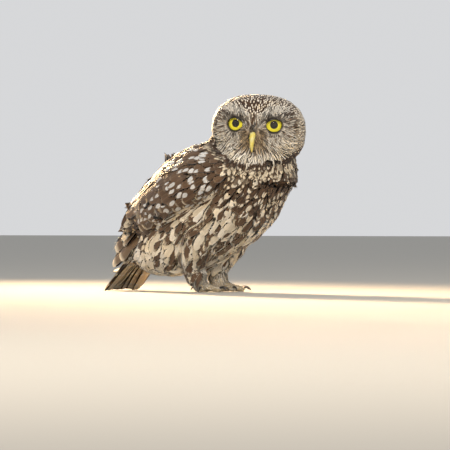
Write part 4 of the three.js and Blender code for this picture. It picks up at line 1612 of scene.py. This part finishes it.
@dataclass
class Tail:
    """Rump, tail coverts and the twelve tail feathers, seen from above and beneath."""

    pitch: float = 46.0
    roof: float = 3.5
    short: float = 2.0
    seed: int = 61

    def on_tail(self, along: Array, left: Array, rise: Array) -> Array:
        """Points in the tail's own plane, in the shared frame."""
        angle = math.radians(self.pitch)
        forward = -63.0 - along * math.cos(angle) - rise * math.sin(angle)
        up = 46.0 - along * math.sin(angle) + rise * math.cos(angle)
        return np.stack([left, -forward, up], -1) + FRAME_SHIFT

    def build(self, skin: Skin, finish: Material, sheer: Material) -> list[Piece]:
        """Lays the tail feathers and the coverts and returns the pieces."""
        fan = Coat("tail_feathers", skin, TRUNK, 0.04)
        for side in (1, -1):
            self.fan(fan, side)
        return [fan.make([sheer], "tail_feathers"), self.coverts(skin, finish), self.vent(skin, finish)]

    def fan(self, coat: Coat, face: int) -> None:
        """Twelve feathers over one face of the tail, the middle pair uppermost.

        Args:
            coat: the piece that takes them.
            face: 1 for the upper face of the tail, -1 for the lower.
        """
        n, rows = (12 if face > 0 else 7), 12
        rng = np.random.default_rng(self.seed)
        across = np.linspace(-1.0, 1.0, n)[:, None]
        angle = math.radians(self.pitch)
        stack = 0.25 + (0.9 * (1.0 - np.abs(across)) if face > 0 else 0.35 * np.abs(across))
        rise_end = face * (0.8 + stack) - self.roof * across**2
        reach = (45.4 + rise_end * math.cos(angle)) / math.sin(angle) - self.short * (1.0 - across**2)
        t = np.linspace(0.0, 1.0, rows)[None]
        thick = 9.0 - 7.2 * np.minimum(1.0, 1.5 * t)
        rise = face * (0.5 * thick + stack) - self.roof * across**2 * np.minimum(1.0, 1.5 * t)
        paths = self.on_tail(2.0 + (reach - 2.0) * t, across * (9.0 + 7.5 * t), rise)
        up = np.broadcast_to(place(-math.sin(angle), 0.0, math.cos(angle)) * face, (n, 3))
        length = np.linalg.norm(paths[:, -1] - paths[:, 0], axis=-1)
        cut = Cut(
            length, np.full(n, 11.0), np.full(n, 0.1), rise=0.6, rows=rows, widest=0.6, tip=0.4,
            sway=0.0, arch=0.03, softness=0.6,
        )
        # The lower face gets a pale tan ground, while the upper face is brown: painted light that stands in
        # for light shining through the tail from behind.
        look = Look.plain(n, Tone.BROWN.light if face > 0 else linear("#E6D2B0"), Tone.WHITE.light)
        look.bars[:, :2] = (5.0, 0.10 if face > 0 else 0.05)
        look.trace[:, 2] = 1.0
        look.vary(rng, 0.05)
        coat.lay_free(paths, up, cut, look, self.seed + face)

    def coverts(self, skin: Skin, finish: Material) -> Piece:
        """Long soft feathers over the root of the tail: two stepped lobes on each side, with bright rims."""
        rng = np.random.default_rng(self.seed + 2)
        ends = []
        for left, forward, up in ((-8, -100, 33), (8, -96, 32), (-7, -104, 21), (7, -100, 20)):
            high = up > 25
            for shift, back, drop in ((0.0, 0.0, 0.0), (4.0, 9.0, 4.5), (-4.0, 12.0, 5.0)):
                start = (-60.0, left * 0.7 + shift, 60.0 if high else 51.0)
                ends.append((start, (forward + back, left + shift, up + drop)))
        for left in (-14.0, -9.5, -3.5, 3.5, 9.5, 14.0):
            ends.append(((-52.0, left * 0.8, 66.0), (-82.0, left, 47.0 - 0.3 * abs(left))))
            ends.append(((-50.0, left * 0.8, 68.0), (-73.0, left, 56.0 - 0.3 * abs(left))))
        start, end = (np.array([spot_at(*pair[k]) for pair in ends]) for k in (0, 1))
        t = np.linspace(0.0, 1.0, 9)[None, :, None]
        lobes = len(ends) - 12
        up = unit(np.array([place(-0.6, 0.045 * pair[1][1], 0.8) for pair in ends]))
        up[:lobes] = unit(np.array([place(-0.25, np.sign(pair[1][1]), 0.30) for pair in ends[:lobes]]))
        swell = 3.2 + rng.uniform(0.0, 0.8, len(ends))[:, None, None]
        paths = start[:, None] * (1 - t) + end[:, None] * t + up[:, None] * (swell * 4 * t * (1 - t))
        count = len(ends)
        length = np.linalg.norm(end - start, axis=-1)
        cut = Cut(
            length, np.full(count, 14.0), np.full(count, 0.8), rise=0.2, rows=9, tip=0.4, sway=0.0,
            arch=0.10, softness=0.6, widest=0.7, fringe=5,
        )
        look = Look.plain(count, Tone.BROWN.light, Tone.BUFF.light)
        look.ground = mixed(look.ground, Tone.SAND.light, rng.uniform(0.0, 0.5, count))
        look.trace[:, 2] = 1.0
        look.vary(rng, 0.06)
        coat = Coat("plumage_tail_coverts", skin, TRUNK, 0.03)
        coat.lay_free(paths, up, cut, look, self.seed + 4)
        return coat.make([finish], "tail_feathers")

    def vent(self, skin: Skin, finish: Material) -> Piece:
        """Loose white feathers under the root of the tail."""
        rng = np.random.default_rng(self.seed + 5)

        def where(points: Array, share: Array) -> Array:
            """The rear of the belly, below and ahead of the tail."""
            flesh = share[:, [Region.TRUNK.value, Region.COVERTS.value]].sum(-1) > 0.3
            behind = TRUNK.into(points)[:, 0] < -18.0
            return behind & flesh & (points[:, 2] < 52.0) & (points[:, 1] < 78.0)

        roots = skin.scatter(lambda p: np.full(len(p), 3.4), where, self.seed + 6)
        count = len(roots)
        length = rng.uniform(13.0, 19.0, count)
        lift = np.clip(roots.coat, 1.5, 4.0) * 1.2
        cut = Cut(
            length, length * 0.42, lift, rise=0.4, rows=7, ragged=0.12, sway=12.0, softness=0.3, fringe=14
        )
        look = Look.plain(count, Tone.WHITE.light)
        look.ground = mixed(look.ground, Tone.CREAM.light, rng.uniform(0, 0.7, count))
        look.vary(rng, 0.05)
        coat = Coat("plumage_vent", skin, TRUNK)
        coat.lay(roots, cut, look, self.seed + 7)
        return coat.make([finish], "body_feathers")


@dataclass
class Eye:
    """One eye: a ball with a sunken yellow iris, under a clear cornea.

    The ball's own map holds the distance from the pupil's middle, as a share of the ball's radius.
    """

    side: int
    radius: float = EYE_RADIUS
    iris: float = 6.9
    pupil: float = 3.0
    cornea_foot: float = 7.2
    cornea_top: float = 9.4

    def lathe(self, name: str, profile: Sequence[tuple[float, float]], segments: int = 48) -> Piece:
        """A closed shape turned about the eye's own axis.

        Args:
            name: the piece's name.
            profile: radius and height from the front pole to the back, poles left out.
            segments: points round each ring.

        Returns:
            The object, with the distance from the axis in its map.
        """
        axes = eye_axes(self.side)
        turn = np.arange(segments) * 2.0 * math.pi / segments
        after = [(i + 1) % segments for i in range(segments)]
        circle = np.cos(turn)[:, None] * axes.left + np.sin(turn)[:, None] * axes.up
        rings = [(axes.origin + axes.forward * profile[0][1])[None]]
        for r, z in profile:
            ring = axes.forward * z + r * circle
            rings.append(axes.origin + ring)
        rings.append((axes.origin + axes.forward * profile[-1][1])[None])
        points = np.concatenate(rings)
        faces = [(0, 1 + i, 1 + j) for i, j in enumerate(after)]
        for n in range(len(profile) - 1):
            a, b = 1 + n * segments, 1 + (n + 1) * segments
            faces += [(a + i, b + i, b + j, a + j) for i, j in enumerate(after)]
        last = 1 + (len(profile) - 1) * segments
        faces += [(last + j, last + i, len(points) - 1) for i, j in enumerate(after)]
        mesh = bpy.data.meshes.new(name)
        mesh.from_pydata((points * MM).tolist(), [], faces)
        mesh.shade_smooth()
        radii = np.repeat([r for r, _ in profile], segments)
        away = np.concatenate([[0.0], radii, [profile[-1][0]]]) / self.radius
        around = np.concatenate([[0.0], np.tile(turn, len(profile)), [0.0]])
        spread = np.stack([away * np.cos(around), away * np.sin(around)], -1)
        layer = mesh.uv_layers.new(name="Ring")
        corner = np.zeros(len(mesh.loops), np.int32)
        mesh.loops.foreach_get("vertex_index", corner)
        layer.uv.foreach_set("vector", (0.5 + 0.5 * spread[corner]).astype(np.float32).ravel())
        return new_object(name, mesh)

    def build(self, iris: Material, clear: Material) -> list[Piece]:
        """Makes the ball and the cornea."""
        name = "left" if self.side > 0 else "right"
        edge = math.sqrt(self.radius**2 - self.iris**2)
        profile = [(r, edge + 0.35) for r in (0.8, 1.8, self.pupil)]
        band = self.iris - self.pupil
        profile += [(r, edge + 0.42 * (1.0 - (r - self.pupil) / band)) for r in (3.3, 4.2, 5.2, 6.2)]
        profile.append((self.iris, edge))
        start = math.asin(self.iris / self.radius)
        for angle in np.linspace(start, math.pi - 0.08, 14)[1:]:
            profile.append((self.radius * math.sin(angle), self.radius * math.cos(angle)))
        ball = self.lathe(f"eye_{name}_ball", profile)
        ball.data.materials.append(iris)
        finish_piece(ball, (f"eye_{name}",))
        foot = math.sqrt(self.radius**2 - self.cornea_foot**2)
        high = self.cornea_top - foot
        curve = (self.cornea_foot**2 + high**2) / (2.0 * high)
        widest = math.asin(self.cornea_foot / curve)
        turns = np.linspace(0.1, widest, 9)
        outer = [(curve * math.sin(a), foot + high - curve + curve * math.cos(a)) for a in turns]
        cornea = self.lathe(f"eye_{name}_cornea", outer + [(6.0, foot - 0.1), (0.5, foot - 0.1)])
        cornea.data.materials.append(clear)
        finish_piece(cornea)
        return [ball, cornea]


@dataclass(frozen=True)
class IrisFinish:
    """A living iris: bright lemon yellow, finely rayed, darker at its rim, round a black pupil."""

    yellow: str = "#E3DA2E"
    deep: str = "#A3A01F"

    def make(self) -> Material:
        """Builds the material."""
        material, t = new_material("yellow_iris")
        spread = t.add("ShaderNodeUVMap", uv_map="Ring").outputs[0]
        links = {0: spread, 1: (0.5, 0.5, 0.0)}
        centred = t.add("ShaderNodeVectorMath", links, operation="SUBTRACT").outputs[0]
        away = t.add("ShaderNodeVectorMath", {0: centred}, operation="LENGTH").outputs["Value"]
        away = t.math("MULTIPLY", away, 2.0 * EYE_RADIUS)
        way = t.add("ShaderNodeVectorMath", {0: centred}, operation="NORMALIZE").outputs[0]
        rays = t.add("ShaderNodeTexNoise", {"Vector": way, "Scale": 9.0, "Detail": 3.0}).outputs[0]
        share = t.step(rays, 0.35, 0.7)
        colour = t.blend(share, rgba(self.yellow), rgba("#CFC52A"))
        colour = t.blend(t.step(away, 5.9, 6.6), colour, rgba(self.deep))
        colour = t.blend(t.step(away, 3.40, 3.10), colour, rgba("#8F8B22"))
        colour = t.blend(t.step(away, 3.08, 2.94), colour, rgba("#030303"))
        colour = t.blend(t.step(away, 6.6, 6.8), colour, rgba("#0A0807"))
        shader = t.add("ShaderNodeBsdfPrincipled", {"Base Color": colour, "Roughness": 0.45})
        t.add("ShaderNodeOutputMaterial", {0: shader.outputs[0]})
        return material


def clear_cornea() -> Material:
    """A clear wet cornea: it lets the iris show and mirrors the lamps as a small bright light."""
    material, t = new_material("wet_cornea")
    gloss = t.add("ShaderNodeBsdfGlossy", {"Color": (1, 1, 1, 1), "Roughness": 0.03}).outputs[0]
    through = t.add("ShaderNodeBsdfTransparent").outputs[0]
    edge = t.add("ShaderNodeFresnel", {"IOR": 1.18}).outputs[0]
    mixed_shader = t.add("ShaderNodeMixShader", {0: edge, 1: through, 2: gloss}).outputs[0]
    t.add("ShaderNodeOutputMaterial", {0: mixed_shader})
    return material


@dataclass(frozen=True)
class HornFinish:
    """Horn of the bill and claws: smooth, slightly waxy, streaked along its growth."""

    name: str
    colour: str
    second: str
    roughness: float = 0.38

    def make(self) -> Material:
        """Builds the material."""
        material, t = new_material(self.name)
        spot = t.add("ShaderNodeTexCoord").outputs["Object"]
        grain = t.add("ShaderNodeTexNoise", {"Vector": spot, "Scale": 260.0, "Detail": 4.0}).outputs[0]
        colour = t.blend(t.step(grain, 0.35, 0.65), rgba(self.colour), rgba(self.second))
        bump = t.add("ShaderNodeBump", {"Strength": 0.15, "Distance": 0.0003, "Height": grain}).outputs[0]
        links = {"Base Color": colour, "Roughness": self.roughness, "Normal": bump}
        shader = t.add("ShaderNodeBsdfPrincipled", links)
        shader.inputs["IOR"].default_value = 1.54
        t.add("ShaderNodeOutputMaterial", {0: shader.outputs[0]})
        return material


@dataclass
class Bill:
    """The bill: an upper half that hooks down over the short lower one, three-sided and sharp."""

    knots: tuple = ((16.5, 0, -0.5), (23.6, 0, -1.6), (27.6, 0, -6.0), (28.6, 0, -11.6), (27.4, 0, -16.4))
    half_width: float = 3.1
    half_height: float = 2.9
    rings: int = 20
    sides: int = 20

    def build(self, upper: Material, lower: Material) -> list[Piece]:
        """Makes both halves."""
        along = np.linspace(0.0, 1.0, self.rings)
        path = smooth_path(self.knots, along)
        close = (1.0 - along) ** 0.62
        wide, high = self.half_width * close + 0.12, self.half_height * close**0.8 + 0.12
        top = self.loft("bill_upper_horn", path, wide, high)
        path = smooth_path(((15, 0, -8.0), (21, 0, -9.6), (25.4, 0, -11.6)), along)
        low = self.loft("bill_lower_horn", path, 2.3 * close + 0.1, 1.3 * close + 0.1)
        for made, material, node in ((top, upper, "bill_upper"), (low, lower, "bill_lower")):
            made.data.materials.append(material)
            finish_piece(made, (node,))
        return [top, low]

    def loft(self, name: str, path: Array, wide: Array, high: Array) -> Piece:
        """A closed horn along a path of the head, with a keel along its crest."""
        ahead = unit(np.gradient(path, axis=0))
        crest = unit(np.cross(ahead, np.array([0.0, 1.0, 0.0])) * -1.0)
        turn = np.arange(self.sides) * 2.0 * math.pi / self.sides
        across, rise = np.cos(turn), np.sin(turn)
        across = np.sign(across) * np.abs(across) ** np.where(rise > 0, 1.25, 0.9)
        local = path[:, None] + np.array([0.0, 1.0, 0.0]) * (wide[:, None] * across)[..., None]
        local = local + crest[:, None] * (high[:, None] * rise)[..., None]
        flat = local.reshape(-1, 3)
        points = HEAD.origin + flat @ np.stack([HEAD.forward, HEAD.left, HEAD.up])
        faces = [tuple(range(self.sides))]
        after = [(i + 1) % self.sides for i in range(self.sides)]
        for n in range(len(path) - 1):
            a, b = n * self.sides, (n + 1) * self.sides
            faces += [(a + j, a + i, b + i, b + j) for i, j in enumerate(after)]
        faces.append(tuple(reversed(range((len(path) - 1) * self.sides, len(flat)))))
        return plain_object(name, points, faces)


def plain_object(name: str, points: Array, faces: Sequence[Sequence[int]]) -> Piece:
    """A smooth closed object with its normals turned outwards.

    Args:
        name: the piece's name.
        points: its points in mm.
        faces: corner numbers.

    Returns:
        The object.
    """
    mesh = bpy.data.meshes.new(name)
    mesh.from_pydata((points * MM).tolist(), [], faces)
    form = bmesh.new()
    form.from_mesh(mesh)
    bmesh.ops.recalc_face_normals(form, faces=form.faces)
    form.to_mesh(mesh)
    form.free()
    mesh.shade_smooth()
    return new_object(name, mesh)


@dataclass
class Bristles:
    """Stiff hair-like feathers round the root of the bill, tapering and bent, set out by geometry nodes."""

    length: float = 6.5
    thickness: float = 0.34
    bend: float = 0.22
    seed: int = 71

    def build(self, skin: Skin, materials: Sequence[Material]) -> list[Piece]:
        """Sets the bristles out in one piece for each of the materials.

        Args:
            skin: the skin that they grow from.
            materials: the pale and the dark keratin.

        Returns:
            The pieces.
        """
        rng = np.random.default_rng(self.seed)
        count = 190
        aside = rng.uniform(0.4, 7.0, count) * rng.choice((-1.0, 1.0), count)
        up = rng.uniform(-11.0, 2.5, count)
        known = np.stack([HEAD.out(22.0, a, u) for a, u in zip(aside, up)])
        roots = Roots.at(skin, known)
        out = aside[:, None] / 7.0
        drop = (0.25 - up / 11.0)[:, None]
        ways = HEAD.forward * 0.45 + HEAD.left * out * 0.9 - HEAD.up * drop * 0.8
        ways = unit(ways + rng.normal(0, 0.10, (count, 3)))
        dark = rng.uniform(0, 1, count) < 0.45
        made = []
        for name, chosen, material in (("pale", ~dark, materials[0]), ("dark", dark, materials[1])):
            points = self.points(f"bristles_{name}", roots.spots[chosen], ways[chosen])
            made.append(self.grow(points, material))
            finish_piece(made[-1])
        return made

    @staticmethod
    def points(name: str, spots: Array, ways: Array) -> Piece:
        """A mesh of loose points, each with its direction."""
        mesh = bpy.data.meshes.new(name)
        mesh.from_pydata((spots * MM).tolist(), [], [])
        layer = mesh.attributes.new("way", "FLOAT_VECTOR", "POINT")
        layer.data.foreach_set("vector", ways.astype(np.float32).ravel())
        return new_object(name, mesh)

    def tree(self) -> bpy.types.NodeTree:
        """The node group: a bent cone on every point, turned to the point's direction."""
        group = bpy.data.node_groups.new("bristle_rows", "GeometryNodeTree")
        face = group.interface
        face.new_socket("Geometry", in_out="OUTPUT", socket_type="NodeSocketGeometry")
        face.new_socket("Geometry", in_out="INPUT", socket_type="NodeSocketGeometry")
        for name in ("Length", "Thickness", "Bend"):
            face.new_socket(name, in_out="INPUT", socket_type="NodeSocketFloat")
        face.new_socket("Seed", in_out="INPUT", socket_type="NodeSocketInt")
        face.new_socket("Material", in_out="INPUT", socket_type="NodeSocketMaterial")
        t = NodeTree(group)
        given = t.add("NodeGroupInput").outputs
        radius = t.math("MULTIPLY", given["Thickness"], 0.5)
        links = {"Vertices": 6, "Side Segments": 5, "Radius Bottom": radius, "Radius Top": 0.00003,
                 "Depth": given["Length"]}
        cone = t.add("GeometryNodeMeshCone", links, fill_type="NGON").outputs["Mesh"]
        position = t.add("GeometryNodeInputPosition").outputs[0]
        height = t.add("ShaderNodeSeparateXYZ", {0: position}).outputs[2]
        share = t.math("DIVIDE", height, given["Length"])
        square = t.math("MULTIPLY", share, share)
        lean = t.math("MULTIPLY", square, t.math("MULTIPLY", given["Bend"], given["Length"]))
        offset = t.add("ShaderNodeCombineXYZ", {0: lean}).outputs[0]
        bent = t.add("GeometryNodeSetPosition", {"Geometry": cone, "Offset": offset}).outputs[0]
        way = t.add("GeometryNodeInputNamedAttribute", {"Name": "way"}, data_type="FLOAT_VECTOR").outputs[0]
        turn = t.add("FunctionNodeAlignRotationToVector", {"Vector": way}, axis="Z").outputs[0]
        links = {2: 0.6, 3: 1.2, "Seed": given["Seed"]}
        size = t.add("FunctionNodeRandomValue", links, data_type="FLOAT").outputs[1]
        links = {"Points": given["Geometry"], "Instance": bent, "Rotation": turn, "Scale": size}
        rows = t.add("GeometryNodeInstanceOnPoints", links).outputs[0]
        real = t.add("GeometryNodeRealizeInstances", {0: rows}).outputs[0]
        links = {"Geometry": real, "Material": given["Material"]}
        done = t.add("GeometryNodeSetMaterial", links).outputs[0]
        t.add("NodeGroupOutput", {0: done})
        return group

    def grow(self, points: Piece, material: Material) -> Piece:
        """Runs the node group on the points and keeps the result as a plain mesh."""
        modifier = points.modifiers.new("bristles", "NODES")
        modifier.node_group = self.tree()
        values = {
            "Length": self.length * MM, "Thickness": self.thickness * MM, "Bend": self.bend,
            "Seed": self.seed, "Material": material,
        }
        for item in modifier.node_group.interface.items_tree:
            if item.in_out == "INPUT" and item.name in values:
                modifier[item.identifier] = values[item.name]
        shaped = evaluated_mesh(points)
        points.modifiers.remove(modifier)
        name = points.name
        bpy.data.objects.remove(points)
        shaped.shade_smooth()
        return new_object(name, shaped)


@dataclass
class Claws:
    """Eight curved claws, smoothed copies of the solids."""

    levels: int = 2

    def build(self, nodes: dict[str, Piece], material: Material) -> None:
        """Makes each claw from its solid."""
        for name in sorted(n for n in nodes if n.startswith("claw_")):
            form = bmesh.new()
            form.from_mesh(nodes[name].data)
            bmesh.ops.remove_doubles(form, verts=form.verts, dist=1e-6)
            mesh = bpy.data.meshes.new(name + "_horn")
            form.to_mesh(mesh)
            form.free()
            rough = new_object(name + "_rough", mesh)
            smooth = rough.modifiers.new("smooth", "SUBSURF")
            smooth.levels = smooth.render_levels = self.levels
            shaped = evaluated_mesh(rough)
            bpy.data.objects.remove(rough)
            shaped.materials.clear()
            shaped.materials.append(material)
            shaped.shade_smooth()
            finish_piece(new_object(name + "_horn", shaped), (name,))


@dataclass
class Lids:
    """The bare black rims round the eyes, with a point at the corner towards the bill."""

    segments: int = 56
    ball: float = 8.65
    outer: float = 6.2
    inner: float = 6.2
    top: float = 4.2
    bottom: float = 5.4

    def opening(self, side: int) -> tuple[Array, Array]:
        """The edge of the opening, as left and up in the eye's axes."""
        turn = np.arange(self.segments) * 2.0 * math.pi / self.segments
        out, up = np.cos(turn), np.sin(turn)
        corner = np.maximum(0.0, np.cos(turn - math.radians(186.0))) ** 14
        wide = np.where(out > 0, self.outer, self.inner) * (1.0 + 0.24 * corner)
        arched = (self.top + 0.55 * out) * (1.0 - 0.06 * np.sin(2.0 * turn) ** 2)
        high = np.where(up > 0, arched, self.bottom)
        return side * out * wide, up * high

    def shape(self, side: int) -> tuple[Array, list[tuple[int, ...]]]:
        """Points and faces of one rim, open only where it sinks under the feathers."""
        axes = eye_axes(side)
        left, up = self.opening(side)
        flat = np.stack([left, up], -1)
        away = unit(flat)
        steps = (
            (0.0, -1.2), (0.0, 0.05), (0.35, 0.50), (0.95, 0.62), (1.6, 0.25), (2.5, -0.8), (3.2, -2.2),
        )
        rings = []
        for reach, rise in steps:
            spot = flat + away * reach
            depth = np.sqrt(np.maximum(self.ball**2 - (spot**2).sum(-1), 1.0))
            rings.append(axes.origin + spot[:, :1] * axes.left + spot[:, 1:] * axes.up
                         + (depth + rise)[:, None] * axes.forward)
        faces = []
        n = self.segments
        for k in range(len(steps) - 1):
            a, b = k * n, (k + 1) * n
            faces += [(a + i, b + i, b + (i + 1) % n, a + (i + 1) % n)[:: side] for i in range(n)]
        return np.concatenate(rings), faces


@dataclass
class Camera:
    """The photograph's view: level, from the bird's right and front, far off with a long lens."""

    azimuth: float = -50.0
    distance: float = 3.0
    lens: float = 300.0
    target: tuple[float, float, float] = (4.6, -19.8, 53.6)

    def build(self) -> None:
        """Makes the camera and sets it as the scene's."""
        data = bpy.data.cameras.new("camera")
        data.sensor_width = 36.0
        data.lens = self.lens
        data.clip_start, data.clip_end = 0.05, 60.0
        camera = new_object("camera", data)
        angle = math.radians(self.azimuth)
        back = Vector((math.sin(angle), -math.cos(angle), 0.0))
        camera.location = Vector(self.target) * MM + back * self.distance
        camera.rotation_mode = "QUATERNION"
        camera.rotation_quaternion = (-back).to_track_quat("-Z", "Y")
        bpy.context.scene.camera = camera


@dataclass
class Studio:
    """A plain pale floor under an even sky, with a broad key lamp and a narrow warm one from behind."""

    floor_half: float = 12.0

    def build(self) -> None:
        """Makes the floor, the lamps and the world."""
        bpy.context.scene.view_settings.view_transform = "Standard"
        mesh = bpy.data.meshes.new("floor")
        h = self.floor_half
        mesh.from_pydata([(-h, -h, 0), (h, -h, 0), (h, h, 0), (-h, h, 0)], [], [(0, 1, 2, 3)])
        floor = new_object("floor", mesh)
        material, t = new_material("matt_paper_floor")
        shader = t.add("ShaderNodeBsdfPrincipled", {"Base Color": rgba("#A5A39D"), "Roughness": 0.9})
        t.add("ShaderNodeOutputMaterial", {0: shader.outputs[0]})
        mesh.materials.append(material)
        world = bpy.data.worlds.new("studio")
        bpy.context.scene.world = world
        world.use_nodes = True
        world.node_tree.nodes.clear()
        t = NodeTree(world.node_tree)
        glow = t.add("ShaderNodeBackground", {"Color": rgba("#EDEEF0"), "Strength": 0.80})
        t.add("ShaderNodeOutputWorld", {0: glow.outputs[0]})
        self.lamp("key", (-1.5, -1.0, 1.2), 0.9, 40.0, "#FFEFDA")
        self.lamp("warm_rim", (0.75, 1.40, 0.62), 0.3, 4.0, "#FFD9A8", 24.0)

    @staticmethod
    def lamp(name: str, spot: tuple, size: float, watts: float, colour: str, spread: float = 180.0) -> None:
        """One square area lamp aimed at the bird.

        Args:
            name: the lamp's name.
            spot: its place, in metres.
            size: its side, in metres.
            watts: its power.
            colour: its light, as an sRGB hex colour.
            spread: how wide its beam is, in degrees.
        """
        data = bpy.data.lights.new(name, "AREA")
        data.spread = math.radians(spread)
        data.size, data.energy = size, watts
        data.color = tuple(linear(colour))
        lamp = new_object(name, data)
        lamp.location = spot
        way = Vector((0.0, 0.0, 0.08)) - Vector(spot)
        lamp.rotation_mode = "QUATERNION"
        lamp.rotation_quaternion = way.to_track_quat("-Z", "Y")


@dataclass(frozen=True)
class SkinFinish:
    """Bare skin between the feather roots: matt, and in the colour of the feathers above it."""

    name: str = "feathered_skin"

    def make(self) -> Material:
        """Builds the material."""
        material, t = new_material(self.name)
        tone = t.add("ShaderNodeAttribute", attribute_name="tone").outputs["Color"]
        shader = t.add("ShaderNodeBsdfPrincipled", {"Base Color": tone, "Roughness": 0.9})
        t.add("ShaderNodeOutputMaterial", {0: shader.outputs[0]})
        return material


def skin_tone(skin: Skin) -> Array:
    """The colour of the skin at each of its points, the same as the feathers' over it."""
    rng = np.random.default_rng(5)
    local, body = HEAD.into(skin.points), TRUNK.into(skin.points)
    dark = np.maximum(ease(60.0, 78.0, body[:, 0]), ease(52.0, 66.0, body[:, 2]))
    tone = mixed(Tone.CREAM.light * 0.7, Tone.BROWN.light * 0.7, dark)
    face = FaceCoat.tones(skin.points, rng)
    tone = np.where(is_face(skin.points)[:, None], face * 0.8, tone)
    legs = skin.share[:, [Region.THIGH.value, Region.SHANK.value]].sum(-1)
    tone = mixed(tone, Tone.CREAM.light * 0.95, legs)
    tone = mixed(tone, linear("#A99A7E"), skin.share[:, Region.FOOT.value])
    return skin.spread(tone, 2)


def skin_piece(skin: Skin) -> Piece:
    """The skin as a piece with the lids, which stands for all the flesh solids."""
    points, faces = [skin.points], skin.triangles.tolist()
    bare = len(faces)
    lids = Lids()
    for side in (-1, 1):
        start = sum(len(p) for p in points)
        rim, quads = lids.shape(side)
        points.append(rim)
        faces += [tuple(start + i for i in quad) for quad in quads]
    mesh = bpy.data.meshes.new("skin")
    mesh.from_pydata((np.concatenate(points) * MM).tolist(), [], faces)
    mesh.shade_smooth()
    tone = mesh.attributes.new("tone", "FLOAT_COLOR", "POINT")
    colours = np.ones((len(mesh.vertices), 4))
    colours[: len(skin.points), :3] = skin_tone(skin)
    colours[len(skin.points) :, :3] = Tone.SOOT.light
    tone.data.foreach_set("color", colours.astype(np.float32).ravel())
    mesh.materials.append(SkinFinish().make())
    mesh.materials.append(HornFinish("bare_black_lid", "#120F0E", "#1C1816", 0.4).make())
    index = np.zeros(len(mesh.polygons), np.int32)
    index[bare:] = 1
    mesh.polygons.foreach_set("material_index", index)
    made = new_object("skin", mesh)
    finish_piece(made, FLESH)
    return made


def main() -> None:
    """Builds the owl piece by piece and reports each one."""
    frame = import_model()
    Camera().build()
    Studio().build()
    skin = Skin()
    skin.build(frame["nodes"])
    skin_piece(skin)
    iris, clear = IrisFinish().make(), clear_cornea()
    for side in (-1, 1):
        Eye(side).build(iris, clear)
    horn = HornFinish("greenish_bill_horn", "#C3BE86", "#CDBE58").make()
    Bill().build(horn, horn)
    pale = HornFinish("pale_bristle_keratin", "#B9A88A", "#8C7A60", 0.55).make()
    dark = HornFinish("dark_bristle_keratin", "#2A211C", "#4A3B2E", 0.5).make()
    Bristles().build(skin, (pale, dark))
    Claws().build(frame["nodes"], HornFinish("dark_claw_horn", "#2A211C", "#15110F", 0.3).make())
    feather = FeatherFinish("body_feather_keratin").make()
    fine = FeatherFinish("face_feather_keratin", ribs=16.0, relief=0.2, contrast=0.2).make()
    CrownCoat().build(skin, fine)
    FaceCoat().build(skin, fine)
    BodyCoat().build(skin, feather)
    for side in (-1, 1):
        Wing(side).build(skin, feather)
    Tail().build(skin, feather, FeatherFinish("sheer_tail_keratin", glow=0.45).make())
    LegCoat().build(skin, feather)


if __name__ == "__main__":
    logging.basicConfig(level=logging.INFO, format="%(message)s")
    main()
